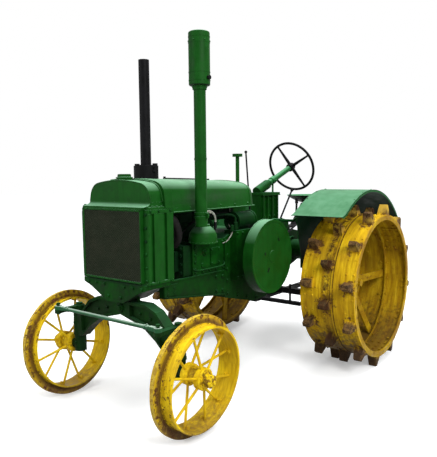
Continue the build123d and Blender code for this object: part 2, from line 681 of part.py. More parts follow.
panel_y = drop_y[1]
panel_low_z = 762.0
with BuildPart() as fender:
    fender_band(fender_r - fender_t, panel_y, fender_y[1])
    fender_band(fender_r - 22, fender_y[1] - fender_t, fender_y[1])
    a, b = fender_ends
    front, back = on_arc(fender_r, a, panel_y), on_arc(fender_r, b, panel_y)
    low_front = Vector(ahead(436), panel_y, panel_low_z)
    low_back = Vector(ahead(-436), panel_y, panel_low_z)
    extrude(Face(Wire([
        Edge.make_three_point_arc(front, on_arc(fender_r, (a + b) / 2, panel_y), back),
        Edge.make_line(back, low_back), Edge.make_line(low_back, low_front),
        Edge.make_line(low_front, front)])), amount=fender_t, dir=(0, 1, 0))
save_pair(fender.part, "fender")

with BuildPart() as brace:
    for side in (1, -1):
        block((282, 322), sorted((side * 80, side * 340)), (case_top_z + 16, case_top_z + 24))
        rod((302, side * 330, case_top_z + 20), (490, side * 500, 1180), 9)
        block((-400, 800), sorted((side * panel_y, side * 700)), (900, 1400), mode=Mode.SUBTRACT)
    block((282, 322), (-80, 80), (case_top_z + 16, case_top_z + 24))
    add(gear_case.part, mode=Mode.SUBTRACT)
save(brace.part, "fender_brace")

# ==================================================================== drawbar
with BuildPart() as drawbar:
    block((-tail, 380), (-38, 38), (drawbar_z + 14, drawbar_z + 34))
    rod((40 - tail, 0, drawbar_z), (40 - tail, 0, drawbar_z + 60), hitch_r, mode=Mode.SUBTRACT)
save(drawbar.part, "drawbar")

with BuildPart() as drawbar_support:
    block((340, 380), (-450, 450), (drawbar_z + 34, drawbar_z + 60))
    block((330, 390), (-56, 56), (drawbar_z + 34, 660))
    block((-30, 30), (-476, 476), (drawbar_z + 34, rear_hub_z - 116))
    add(rear_axle.part, mode=Mode.SUBTRACT)
    add(main_case.part, mode=Mode.SUBTRACT)
save(drawbar_support.part, "drawbar_support")
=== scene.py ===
"""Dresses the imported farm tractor: paint, rust, fasteners, pipes and small fittings."""
from math import atan2, cos, radians, sin

import bmesh
import bpy
from mathutils import Matrix, Vector


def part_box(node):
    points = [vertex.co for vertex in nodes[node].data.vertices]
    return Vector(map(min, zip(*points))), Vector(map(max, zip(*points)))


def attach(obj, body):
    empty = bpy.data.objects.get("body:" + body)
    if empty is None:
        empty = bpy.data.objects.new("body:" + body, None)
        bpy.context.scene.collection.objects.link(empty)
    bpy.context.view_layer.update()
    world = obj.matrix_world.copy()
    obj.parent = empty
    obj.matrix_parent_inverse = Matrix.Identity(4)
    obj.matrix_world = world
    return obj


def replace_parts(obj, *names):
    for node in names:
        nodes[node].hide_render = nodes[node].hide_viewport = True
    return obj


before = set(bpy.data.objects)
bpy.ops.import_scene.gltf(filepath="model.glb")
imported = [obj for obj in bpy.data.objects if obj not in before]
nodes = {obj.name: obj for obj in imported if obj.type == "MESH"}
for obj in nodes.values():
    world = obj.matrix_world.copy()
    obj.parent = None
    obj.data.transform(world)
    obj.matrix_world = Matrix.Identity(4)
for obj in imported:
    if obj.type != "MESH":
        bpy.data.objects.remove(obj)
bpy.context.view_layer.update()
scene = bpy.context.scene


# ======== places, metres
def middle(node):
    """Middle of a node's box."""
    low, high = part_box(node)
    return (low + high) / 2


AHEAD, LEFT, UP = Vector((1, 0, 0)), Vector((0, 1, 0)), Vector((0, 0, 1))
SIDES = (("left", 1), ("right", -1))
REAR, _, REAR_Z = middle("left_rear_wheel_hub")
FRONT, _, FRONT_Z = middle("left_front_rim")
FLY, _, FLY_Z = middle("flywheel")

# rear wheels; a row is its distance off the centre line and its lead in degrees
RIM_R = 0.550
FLANGE_R = 0.512
LUG_ROWS = ((0.616, 7.5), (0.760, 22.5), (0.936, 7.5))
RIVET_ROWS = ((0.585, 7.5), (0.648, 7.5), (0.735, 22.5), (0.782, 22.5), (0.905, 7.5), (0.962, 7.5))
SPOKE_ROWS = ((0.584, 30), (0.766, 0))
LUG_STEP = 30.0
SEAM = 0.800  # where the two rims meet

# front wheels
CAMBER = radians(4.0)
GUIDE_R, TREAD_R = 0.358, 0.305
FRONT_Y = 0.664 - 0.076 * cos(CAMBER)

# x and z are ahead of the rear axle and above the ground
WHEELBASE, KINGPIN_Y = 1.805, 0.450
TIE_X, TIE_Z = 1.975, 0.6465  # ends of the tie rod
CRANK_X, CRANK_Z = 0.838, 0.921
DROP_Z = 0.865  # upper shaft of the drop boxes
GOVERNOR_Y, GOVERNOR_Z = 0.228, 1.168
CASE_Y, BLOCK_Y = 0.250, 0.248
HEAD_X, COVER_X = 1.505, 1.539
CAP_X, STACK_X = 1.781, 1.591  # filler cap, exhaust stack
INTAKE, CLEANER = (1.475, 0.360), (1.372, 0.286)
FENDER_X, FENDER_R = 0.055, 0.748
FENDER_IN, FENDER_OUT = 0.488, 0.900
PLATFORM_Z = 0.757
WHEEL_X, WHEEL_Z, SLOPE = -0.257, 1.569, radians(20.5)  # steering wheel and its shaft


def at(x, y, z):
    """Point x ahead of the rear axle."""
    return Vector((REAR + x, y, z))


def place(name, data):
    """New object in the scene."""
    obj = bpy.data.objects.new(name, data)
    scene.collection.objects.link(obj)
    return obj


def spot(p):
    """A Vector as it is, three numbers as for at()."""
    return p if isinstance(p, Vector) else at(*p)


def circle(count, first=0.0):
    """Cosine and sine of even steps round a circle; first is in degrees."""
    turns = [radians(first + 360.0 * i / count) for i in range(count)]
    return [(cos(a), sin(a)) for a in turns]


def spoke(turn):
    """Direction in a wheel's plane."""
    return AHEAD * cos(turn) + UP * sin(turn)


# ======== materials
def new(tree, kind):
    return tree.nodes.new("ShaderNode" + kind)


class Tree:
    """Short names for the shader nodes of one material, whose color gets one coat after another."""

    def __init__(self, name, specular=0.05):
        self.mat = bpy.data.materials.new(name)
        self.mat.use_nodes = True
        self.tree = self.mat.node_tree
        self.tree.nodes.clear()
        self.out, self.bsdf = new(self.tree, "OutputMaterial"), new(self.tree, "BsdfPrincipled")
        self.bsdf.inputs["Specular IOR Level"].default_value = specular
        self.put(self.out.inputs[0], self.bsdf.outputs[0])
        coord = new(self.tree, "TexCoord")
        self.pos = coord.outputs["Object"]
        self.x, self.y, self.z = self.apart(self.pos)
        _, self.ny, self.up = self.apart(coord.outputs["Normal"])

    def put(self, socket, value):
        if isinstance(value, bpy.types.NodeSocket):
            self.tree.links.new(value, socket)
        elif socket.type == "RGBA" and len(value) == 3:
            socket.default_value = (*value, 1.0)
        else:
            socket.default_value = value

    def node(self, kind, *values):
        """New node with its first inputs filled."""
        n = new(self.tree, kind)
        for socket, value in zip(n.inputs, values):
            self.put(socket, value)
        return n

    def apart(self, vector):
        return tuple(self.node("SeparateXYZ", vector).outputs)

    def join(self, a, b, c):
        return self.node("CombineXYZ", a, b, c).outputs[0]

    def math(self, op, a, b=0.0):
        n = self.node("Math", a, b)
        n.operation = op
        return n.outputs[0]

    def times(self, *values):
        v = values[0]
        for w in values[1:]:
            v = self.math("MULTIPLY", v, w)
        return v

    def plus(self, a, b):
        return self.math("ADD", a, b)

    def minus(self, a, b):
        return self.math("SUBTRACT", a, b)

    def size(self, v):
        """The value without its sign."""
        return self.math("ABSOLUTE", v)

    def blend(self, a, share, b, rest):
        return self.plus(self.times(a, share), self.times(b, rest))

    def span(self, v, a, b, c=0.0, d=1.0):
        """Map a..b to c..d, held at its ends."""
        return self.node("MapRange", v, a, b, c, d).outputs[0]

    def mix(self, fac, a, b):
        n = new(self.tree, "Mix")
        n.data_type = "RGBA"
        for i, value in ((0, fac), (6, a), (7, b)):
            self.put(n.inputs[i], value)
        return n.outputs[2]

    def coat(self, fac, color):
        """Lay a color over what is there."""
        self.color = self.mix(fac, self.color, color)

    def noise(self, scale, detail=4.0, rough=0.55, stretch=(1, 1, 1), seed=0.0, vector=None):
        m = self.node("Mapping", vector or self.pos, (seed, seed * 0.7, -seed))
        m.inputs["Scale"].default_value = stretch
        n = new(self.tree, "TexNoise")
        for key, value in (("Vector", m.outputs[0]), ("Scale", scale), ("Detail", detail), ("Roughness", rough)):
            self.put(n.inputs[key], value)
        return n.outputs[0]

    def round_axle(self, x, z):
        """Distance from a cross axis, and the angle round it."""
        dx, dz = self.minus(self.x, x), self.minus(self.z, z)
        r = self.math("SQRT", self.plus(self.times(dx, dx), self.times(dz, dz)))
        return r, self.math("ARCTAN2", dz, dx)

    def bump(self, height, strength=0.2, distance=0.002):
        n = new(self.tree, "Bump")
        for key, value in (("Strength", strength), ("Distance", distance), ("Height", height)):
            self.put(n.inputs[key], value)
        self.put(self.bsdf.inputs["Normal"], n.outputs[0])

    def done(self, color, rough, metallic=0.0):
        for key, value in (("Base Color", color), ("Roughness", rough), ("Metallic", metallic)):
            self.put(self.bsdf.inputs[key], value)


def paint(name, base, pale, deep, rust, fade_and_highlight=0.6, worn=0.66, seed=0.0, gloss=(0.34, 0.62), darker_low_and_bay_shade=0.0,
          specular=0.06):
    """Old enamel: chalky towards the sky, which also paints a highlight on faces that look up; darker in places, with
    painted shade on faces that look down; rust where it has chipped.
    """
    t = Tree(name, specular)
    wide = t.noise(2.6, 5, seed=seed)
    mid = t.noise(13, 5, 0.6, seed=seed)
    fine = t.noise(120, 3, 0.6, seed=seed)
    runs = t.noise(24, 4, 0.6, (1, 1, 0.12), seed + 1)
    t.color = t.mix(t.span(t.blend(mid, 0.6, wide, 0.4), 0.36, 0.62), deep, base)
    streak = t.times(t.span(runs, 0.50, 0.66), t.span(t.up, 0.5, 0.0), 0.55)
    t.coat(streak, deep)
    # chalky paint on faces towards the sky, and a painted highlight there
    chalk_and_highlight = t.times(t.span(t.up, 0.42, 0.99), t.span(wide, 0.30, 0.66, fade_and_highlight * 0.6, fade_and_highlight))
    t.coat(t.math("MINIMUM", chalk_and_highlight, 1.0), pale)
    # painted shade: faces that look down go near black
    t.coat(t.span(t.up, -0.15, -0.7, 0.0, 0.85), (0.004, 0.007, 0.004))
    if darker_low_and_bay_shade:
        # darker towards the bottom
        low = t.span(t.plus(t.z, t.times(mid, 0.3)), 1.10, 0.75, 0.0, darker_low_and_bay_shade)
        t.coat(low, (0.006, 0.011, 0.005))
        # painted shade on what lies deep under the hood
        off = t.size(t.y)
        engine = t.span(t.x, REAR + 0.72, REAR + 0.80)
        bay_shade = t.times(engine, t.span(off, 0.247, 0.225), t.span(t.z, 0.84, 0.86))
        over = t.times(engine, t.span(off, 0.305, 0.295), t.span(t.z, 1.090, 1.104))
        t.coat(t.math("MAXIMUM", t.times(bay_shade, 0.80), t.times(over, 0.62)), (0.0016, 0.009, 0.004))
    chip = t.span(t.blend(mid, 0.65, fine, 0.35), worn, worn + 0.05)
    t.coat(chip, rust)
    rough = t.math("MAXIMUM", t.span(mid, 0.3, 0.7, *gloss), t.times(chip, 0.85))
    t.bump(t.plus(mid, t.times(fine, 0.25)), 0.25, 0.003)
    t.done(t.color, rough)


paint("green_enamel", base=(0.0060, 0.066, 0.0065), pale=(0.21, 0.43, 0.26), deep=(0.0030, 0.042, 0.0032),
      rust=(0.03, 0.026, 0.012), fade_and_highlight=0.85, worn=0.70)
paint("green_casting", base=(0.0032, 0.058, 0.0036), pale=(0.05, 0.19, 0.08), deep=(0.0010, 0.020, 0.0015),
      rust=(0.022, 0.020, 0.011), worn=0.63, seed=3.0, gloss=(0.45, 0.7), darker_low_and_bay_shade=0.6, specular=0.05)
paint("green_faded", base=(0.009, 0.095, 0.018), pale=(0.10, 0.29, 0.145), deep=(0.005, 0.060, 0.011),
      rust=(0.05, 0.04, 0.025), fade_and_highlight=1.1, worn=0.72, seed=6.0, gloss=(0.4, 0.6))
# lighter copy of the green for the tie rod: a painted highlight
paint("highlit_green", base=(0.035, 0.115, 0.055), pale=(0.36, 0.47, 0.38), deep=(0.012, 0.070, 0.025),
      rust=(0.10, 0.08, 0.05), fade_and_highlight=1.2, seed=12.0, gloss=(0.4, 0.6))
paint("black_enamel", base=(0.008, 0.008, 0.009), pale=(0.03, 0.03, 0.032), deep=(0.003, 0.003, 0.003),
      rust=(0.030, 0.017, 0.010), fade_and_highlight=0.5, seed=9.0, gloss=(0.4, 0.65), specular=0.05)


def fender_paint():
    """Faded top and outer face, lighter on top also as a painted highlight; painted shade, near black low down, on
    the side towards the wheel and underneath.
    """
    t = Tree("fender_enamel", 0.08)
    wide, mid, fine = t.noise(3.2, 5, seed=6.0), t.noise(15, 5, 0.6), t.noise(140, 3, 0.6)
    t.color = t.mix(t.span(mid, 0.36, 0.66), (0.006, 0.070, 0.012), (0.010, 0.095, 0.020))
    # lighter on top: faded paint, and a painted highlight there
    chalk_and_highlight = t.times(t.span(t.up, 0.15, 0.85), t.span(wide, 0.32, 0.66, 0.72, 1.0))
    t.coat(chalk_and_highlight, t.mix(t.span(mid, 0.35, 0.65), (0.060, 0.195, 0.092), (0.098, 0.245, 0.135)))
    # painted shade on the side towards the wheel and on faces that look down, darkest low down
    outward = t.times(t.ny, t.math("SIGN", t.y))
    inner = t.times(t.span(outward, 0.3, 0.6), t.math("LESS_THAN", t.size(t.y), 0.6))
    painted_shade = t.math("MAXIMUM", inner, t.span(t.up, -0.05, -0.3))
    height = t.plus(t.z, t.times(mid, 0.3))
    t.coat(t.times(painted_shade, 0.97), t.mix(t.span(height, 1.10, 1.32), (0.004, 0.006, 0.004), (0.003, 0.026, 0.012)))
    chip = t.span(t.blend(mid, 0.6, fine, 0.4), 0.66, 0.70)
    t.coat(chip, (0.05, 0.035, 0.02))
    t.bump(t.plus(mid, t.times(fine, 0.2)), 0.2, 0.003)
    t.done(t.color, t.span(mid, 0.3, 0.7, 0.42, 0.65))


def rear_wheel_paint():
    """Yellow enamel in streaks round the rim, rust and mud at the lug feet and along the bottom."""
    t = Tree("rear_wheel_yellow", 0.06)
    r, angle = t.round_axle(REAR, REAR_Z)
    beside = t.size(t.y)
    wide, mid = t.noise(4.5, 5, seed=2.0), t.noise(26, 5, 0.68, seed=2.0)
    fine = t.noise(170, 3, 0.6)
    streaks = t.noise(1.0, 5, 0.65, (2.2, 34.0, 9.0), vector=t.join(angle, t.y, r))
    t.color = t.mix(t.span(streaks, 0.36, 0.62), (0.42, 0.225, 0.006), (0.72, 0.46, 0.010))
    t.coat(t.span(streaks, 0.56, 0.68, 0.0, 0.5), (0.86, 0.62, 0.03))
    t.coat(t.span(wide, 0.55, 0.42, 0.0, 0.35), (0.25, 0.125, 0.012))
    nearest = None
    for row, lead in LUG_ROWS:
        turn = t.math("DIVIDE", t.minus(angle, radians(lead)), radians(LUG_STEP))
        part = t.minus(t.math("FRACT", t.plus(turn, 0.5)), 0.5)
        along = t.times(part, radians(LUG_STEP) * RIM_R)
        over = t.minus(beside, row)
        gap = t.math("SQRT", t.plus(t.times(along, along), t.times(over, over)))
        nearest = t.math("MINIMUM", nearest, gap) if nearest else gap
    ragged = t.plus(nearest, t.times(t.minus(t.blend(mid, 0.6, wide, 0.4), 0.5), 0.42))
    foot = t.times(t.span(ragged, 0.060, 0.034), t.span(r, RIM_R - 0.004, RIM_R - 0.001))
    brown = t.mix(t.span(fine, 0.4, 0.62), (0.045, 0.018, 0.008), (0.17, 0.075, 0.025))
    t.coat(t.times(foot, 0.9), brown)
    lug = t.span(r, RIM_R + 0.004, RIM_R + 0.030)
    iron = t.mix(t.span(mid, 0.42, 0.60), (0.022, 0.012, 0.007), (0.15, 0.080, 0.028))
    iron = t.mix(t.span(fine, 0.52, 0.70, 0.0, 0.55), iron, (0.32, 0.22, 0.10))
    iron = t.mix(t.times(t.span(t.z, 0.85, 1.15), t.span(wide, 0.44, 0.54)), iron, (0.55, 0.36, 0.05))
    t.coat(t.times(lug, 0.95), iron)
    seam = t.times(t.span(t.size(t.minus(beside, 0.755)), 0.050, 0.012),
                   t.span(t.plus(mid, t.times(wide, 0.6)), 0.72, 0.88), t.span(r, 0.545, 0.55))
    t.coat(seam, (0.05, 0.022, 0.010))
    line = t.math("MINIMUM", t.size(t.minus(beside, 0.8095)), t.size(t.minus(beside, 0.7905)))
    line = t.times(t.span(line, 0.0045, 0.0020), t.span(r, 0.547, 0.549), t.span(mid, 0.34, 0.46))
    t.coat(t.times(line, 0.9), (0.035, 0.014, 0.007))
    mud = t.span(t.plus(t.z, t.times(t.minus(mid, 0.5), 0.75)), 0.40, 0.16)
    mud = t.times(mud, t.span(r, 0.50, 0.545), t.span(beside, 0.985, 0.955, 0.35, 1.0))
    t.coat(t.times(mud, 0.9), t.mix(fine, (0.010, 0.007, 0.005), (0.085, 0.048, 0.026)))
    # painted shade on the inner face of the rim
    t.coat(t.span(r, RIM_R - 0.004, RIM_R - 0.012, 0.0, 0.42), (0.115, 0.058, 0.004))
    inside = t.times(t.span(r, RIM_R - 0.008, RIM_R - 0.013), t.span(mid, 0.56, 0.68))
    t.coat(t.times(inside, 0.75), (0.11, 0.045, 0.014))
    t.bump(t.plus(mid, t.times(fine, 0.3)), 0.35, 0.004)
    t.done(t.color, t.plus(t.span(mid, 0.4, 0.65, 0.42, 0.70), t.times(lug, 0.2)))


def front_wheel_paint():
    """Bright yellow; rust flaking along the guide ring and in the groove beside it, darkened there as painted shade
    too.
    """
    t = Tree("front_wheel_yellow", 0.06)
    r, angle = t.round_axle(FRONT, FRONT_Z)
    wide, mid = t.noise(6, 5, seed=4.0), t.noise(34, 5, 0.68, seed=4.0)
    fine = t.noise(190, 3, 0.6)
    streaks = t.noise(1.0, 5, 0.65, (3.0, 60.0, 12.0), vector=t.join(angle, t.y, r))
    t.color = t.mix(t.span(streaks, 0.35, 0.62), (0.56, 0.34, 0.006), (0.84, 0.60, 0.012))
    t.coat(t.span(wide, 0.56, 0.40, 0.0, 0.30), (0.36, 0.20, 0.015))
    ring = t.span(r, TREAD_R + 0.001, TREAD_R + 0.012)
    tread = t.span(r, GUIDE_R - 0.006, GUIDE_R - 0.001)
    outward = t.times(t.ny, t.math("SIGN", t.y))
    # rust on the sides of the guide ring, with painted shade there too
    groove = t.times(ring, t.span(t.size(outward), 0.4, 0.8),
                     t.span(t.plus(mid, t.times(wide, 0.5)), 0.70, 0.80, 0.22, 1.0))
    rust = t.mix(t.span(fine, 0.42, 0.6), (0.040, 0.016, 0.009), (0.16, 0.070, 0.026))
    t.coat(t.times(groove, 0.92), rust)
    t.coat(t.times(tread, 0.70), t.mix(t.span(mid, 0.42, 0.58), (0.20, 0.11, 0.030), (0.66, 0.48, 0.07)))
    # rust packed in the corner between the ring and the rim, with painted shade there too
    along = t.minus(t.times(t.minus(t.size(t.y), FRONT_Y), cos(CAMBER)),
                   t.times(t.minus(t.z, FRONT_Z), sin(CAMBER)))
    beside = t.size(t.plus(along, 0.016))
    worn = t.plus(beside, t.times(t.minus(t.plus(mid, t.times(streaks, 0.5)), 0.75), 0.06))
    corner = t.times(t.span(r, TREAD_R - 0.003, TREAD_R), t.span(r, GUIDE_R - 0.010, GUIDE_R - 0.034),
                     t.span(worn, 0.025, 0.016))
    t.coat(t.times(corner, 0.80), t.mix(fine, (0.014, 0.007, 0.005), (0.12, 0.045, 0.018)))
    flat = t.times(t.span(r, TREAD_R - 0.006, TREAD_R - 0.001), t.span(mid, 0.56, 0.62))
    speck = t.times(t.span(r, TREAD_R - 0.006, TREAD_R - 0.001), t.span(fine, 0.66, 0.70))
    t.coat(t.math("MAXIMUM", flat, speck), rust)
    low = t.times(t.span(t.plus(t.z, t.times(t.minus(mid, 0.5), 0.35)), 0.17, 0.04), t.span(r, 0.25, 0.30))
    t.coat(t.times(low, 0.75), (0.13, 0.070, 0.028))
    hub = t.times(t.span(r, 0.060, 0.040), t.span(t.plus(mid, t.times(wide, 0.5)), 0.76, 0.84))
    t.coat(t.times(hub, 0.8), rust)
    t.bump(t.plus(mid, t.times(fine, 0.3)), 0.3, 0.003)
    t.done(t.color, t.span(mid, 0.4, 0.65, 0.38, 0.70))


def core_metal():
    """Radiator core and mesh: dark tubes and fins, dusty and stained."""
    t = Tree("radiator_core", 0.04)
    stain, mid = t.noise(7, 6, 0.7, (1, 1, 2.2)), t.noise(45, 4, 0.6, (1, 1, 2.5))
    fine = t.noise(420, 2, 0.5)
    t.color = t.mix(t.span(t.blend(stain, 0.6, mid, 0.4), 0.38, 0.60), (0.010, 0.017, 0.008), (0.036, 0.044, 0.026))
    t.coat(t.span(fine, 0.4, 0.7, 0, 0.6), (0.006, 0.007, 0.005))
    t.bump(fine, 0.6, 0.003)
    t.done(t.color, 0.75, 0.1)


def plain(name, specular, grain, edges, dark, light, rough, metallic=0.0, bump=0.2):
    """Bare stuff in two mottled shades."""
    t = Tree(name, specular)
    mid = t.noise(*grain)
    if bump:
        t.bump(mid, bump)
    t.done(t.mix(t.span(mid, *edges), dark, light), rough, metallic)


fender_paint()
rear_wheel_paint()
front_wheel_paint()
core_metal()
plain("worn_steel", 0.3, (40, 4), (0.4, 0.6), (0.20, 0.19, 0.17), (0.085, 0.060, 0.042), 0.5, 0.6, 0)
plain("dull_pipe", 0.3, (60, 4), (0.35, 0.65), (0.14, 0.13, 0.10), (0.34, 0.36, 0.31), 0.5, 0.25)
plain("screen_wire", 0.1, (9, 5), (0, 1), (0.013, 0.026, 0.013), (0.042, 0.042, 0.027), 0.6, bump=0)
plain("black_rubber", 0.05, (60, 4), (0, 1), (0.006, 0.006, 0.006), (0.020, 0.019, 0.018), 0.6)
MATS = bpy.data.materials

# the rest of the nodes are green castings
by_node = {
    "green_enamel": ("hood", "radiator_top_tank", "radiator", "flywheel", "belt_pulley", "intake_pipe", "precleaner",
                     "breather_pipe"),
    "green_faded": ("fender_brace", "seat", "steering_column_post"),
    "highlit_green": ("tie_rod",),
    "fender_enamel": ("left_fender", "right_fender"),
    "black_enamel": ("exhaust_stack", "gear_lever", "throttle_rod", "drawbar", "drawbar_support", "seat_spring",
                     "fan", "steering_wheel"),
    "radiator_core": ("radiator_screen",),
    "worn_steel": ("crankshaft",),
    "rear_wheel_yellow": [f"{s}_rear_{p}" for s, _ in SIDES for p in ("rim", "extension_rim", "wheel_hub")],
    "front_wheel_yellow": [f"{s}_front_{p}" for s, _ in SIDES for p in ("rim", "wheel_hub")],
}
look = {node: mat for mat, group in by_node.items() for node in group}
for node, obj in nodes.items():
    for s in obj.material_slots:
        s.material = MATS[look.get(node, "green_casting")]


# ======== mesh kit
class Kit:
    """Collects small solids into one mesh piece; points are as for spot()."""

    def __init__(self):
        self.bm = bmesh.new()

    def _turn(self, axis):
        z = axis.normalized()
        x = UP if abs(z.z) < 0.9 else AHEAD
        y = z.cross(x).normalized()
        return y.cross(z).normalized(), y, z

    def skin(self, rows, closed=False):
        """Surface through rows of points, each a closed loop, with ends unless the rows close on themselves."""
        rows = [[self.bm.verts.new(p) for p in row] for row in rows]
        n = len(rows[0])
        for lower, upper in list(zip(rows, rows[1:])) + ([(rows[-1], rows[0])] if closed else []):
            for k in range(n):
                self.bm.faces.new((lower[k], lower[(k + 1) % n], upper[(k + 1) % n], upper[k]))
        if not closed:
            self.bm.faces.new(rows[0][::-1])
            self.bm.faces.new(rows[-1])

    def cyl(self, a, b, r, r2=None, n=20):
        """Round bar or cone with a softened rim."""
        a, b = spot(a), spot(b)
        r2 = r if r2 is None else r2
        x, y, z = self._turn(b - a)
        h = (b - a).length
        e = min(r, r2, h / 2) * 0.16
        self.skin([[a + z * u + (x * c + y * s) * rad for c, s in circle(n)]
                   for u, rad in ((0, r - e), (e, r), (h - e, r2), (h, max(r2 - e, 1e-5)))])

    def rivet(self, p, axis, h, r, r2=None, n=10):
        """Round head or stud, h high."""
        self.cyl(p, spot(p) + axis * h, r, r2, n)

    def nut(self, p, axis, r, h):
        """Hexagon head on a washer."""
        p, axis = spot(p), axis.normalized()
        self.cyl(p - axis * 0.001, p + axis * h * 0.2, r * 1.25, n=14)
        self.cyl(p, p + axis * h, r, n=6)

    def nuts(self, points, axis, r, h):
        for p in points:
            self.nut(p, axis, r, h)

    def bolts(self, centre, axis, radius, count, r, h, first=0.0):
        """Nuts on a circle round a cross axis."""
        centre = spot(centre)
        self.nuts([centre + (AHEAD * c + UP * s) * radius for c, s in circle(count, first)], axis, r, h)

    def box(self, low, high, turn=None):
        low, high = spot(low), spot(high)
        c, d = (low + high) / 2, (high - low) / 2
        made = bmesh.ops.create_cube(self.bm, size=2.0)["verts"]
        m = Matrix.Translation(c) @ (turn.to_4x4() if turn else Matrix.Identity(4)) @ Matrix.Diagonal((*d, 1))
        bmesh.ops.transform(self.bm, matrix=m, verts=made)
        edges = {e for v in made for e in v.link_edges}
        bmesh.ops.bevel(self.bm, geom=list(edges), offset=min(d) * 0.22, segments=2, affect="EDGES")

    def tube(self, points, r, n=10, steps=6):
        """Bent pipe through points, with rounded bends."""
        pts = [spot(p) for p in points]
        path = []
        for p0, p1, p2, p3 in zip(pts[:1] + pts, pts, pts[1:], pts[2:] + pts[-1:]):
            for k in range(steps):
                t = k / steps
                path.append(0.5 * ((2 * p1) + (p2 - p0) * t + (2 * p0 - 5 * p1 + 4 * p2 - p3) * t * t
                                   + (3 * p1 - p0 - 3 * p2 + p3) * t ** 3))
        path.append(pts[-1])
        rows, x = [], None
        for i, p in enumerate(path):
            q = path[i + 1] if i + 1 < len(path) else p + (p - path[i - 1])
            z = (q - (path[i - 1] if i else p - (q - p))).normalized()
            x = x - z * x.dot(z) if x is not None else self._turn(z)[0]
            x.normalize()
            y = z.cross(x)
            rows.append([p + (x * c + y * s) * r for c, s in circle(n)])
        self.skin(rows)

    def lathe(self, centre, axis, outline, n=64):
        """Closed ring turned round an axis; outline in (radius, distance along the axis)."""
        centre = spot(centre)
        x, y, z = self._turn(axis)
        self.skin([[centre + (x * c + y * s) * r + z * u for r, u in outline] for c, s in circle(n)], True)

    def band(self, centre, axis, inner, outer, half, n=40):
        """Plain ring, half as wide on each side of its centre."""
        self.lathe(centre, axis, ((inner, -half), (outer, -half), (outer, half), (inner, half)), n)

    def done(self, name, mat, slot="green_paint", body="chassis", sharp=38):
        """Make the piece; mat is a material's name."""
        bmesh.ops.recalc_face_normals(self.bm, faces=self.bm.faces[:])
        for f in self.bm.faces:
            f.smooth = True
        for e in self.bm.edges:
            e.smooth = len(e.link_faces) == 2 and e.calc_face_angle(0.0) < radians(sharp)
        mesh = bpy.data.meshes.new(name)
        self.bm.to_mesh(mesh)
        self.bm.free()
        obj = place(name, mesh)
        mesh.materials.append(MATS[mat])
        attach(obj, body)
        return obj


def round_rear(side, y, r, turn):
    """Point on a rear wheel, at a radius and angle."""
    return Vector((REAR, side * y, REAR_Z)) + spoke(turn) * r


# ======== rear wheels
for name, side in SIDES:
    out, hub = LEFT * side, Vector((REAR, 0, REAR_Z))
    k = Kit()
    # bolted seam between the two rims, beads along their outer edges
    for y, r, w in ((SEAM, 0.5560, 0.007), (0.5545, 0.5535, 0.004), (0.9755, 0.5535, 0.004)):
        k.lathe(hub + out * y, out, ((RIM_R - 0.012, -w), (r, -w), (r + 0.001, 0), (r, w), (RIM_R - 0.012, w)), 120)
    # inward flanges along the edges of the main rim
    for y in (0.555, 0.795):
        k.band(hub + out * y, out, FLANGE_R, 0.545, 0.005, 96)
    # rivet heads between the lugs
    for y, lead in RIVET_ROWS:
        for a in [radians(lead + LUG_STEP * i + d) for i in range(12) for d in (9.4, 20.6)]:
            k.rivet(round_rear(side, y, RIM_R - 0.001, a), spoke(a), 0.007, 0.009, 0.006, 8)
    # plates over the joints of the hoop, inside the extension rim
    half = Vector((0.0035, 0.068, 0.0275))
    for joint in (12.0, 132.0, 252.0):
        for a in [radians(joint + 5.5 * i) for i in range(5)]:
            mid = round_rear(side, 0.888, RIM_R - 0.0135, a)
            k.box(mid - half, mid + half, Matrix.Rotation(-a, 3, "Y"))
        for a in [radians(joint + d) for d in (1.0, 8.0, 14.0, 21.0)]:
            k.nuts([round_rear(side, y, RIM_R - 0.016, a) for y in (0.835, 0.888, 0.941)], -spoke(a), 0.010, 0.009)
    k.done(f"{name}_rear_rim_trim", "rear_wheel_yellow", "yellow_paint", f"{name}_rear_wheel")
    k = Kit()
    # nuts of the lug bolts inside the rim, and of the bolts through the two flanges
    for y, lead in LUG_ROWS:
        for a in [radians(lead + LUG_STEP * i) for i in range(12)]:
            k.nuts([round_rear(side, y + (d * 0.6 if y < 0.9 else 0), RIM_R - 0.010, a + d / RIM_R)
                    for d in (-0.026, 0.026)], -spoke(a), 0.011, 0.012)
    k.bolts(hub + out * (SEAM + 0.001), out, 0.526, 24, 0.009, 0.010, 4)
    # hub cap, axle nut and flange bolts
    k.rivet(hub + out * 0.740, out, 0.030, 0.062, 0.050, 24)
    k.nut(hub + out * 0.770, out, 0.032, 0.028)
    k.bolts(hub + out * 0.717, out, 0.115, 12, 0.013, 0.012, 15)
    k.bolts(hub + out * 0.547, -out, 0.115, 12, 0.013, 0.010, 15)
    # bolts at the spoke feet
    for y, first in SPOKE_ROWS:
        for a in [radians(first + 60 * i) for i in range(6)]:
            for d in (-0.018, 0.018):
                k.rivet(round_rear(side, y + d, RIM_R - 0.001, a), spoke(a), 0.009, 0.011, 0.007)
    k.done(f"{name}_rear_wheel_nuts", "rear_wheel_yellow", "yellow_paint", f"{name}_rear_wheel")

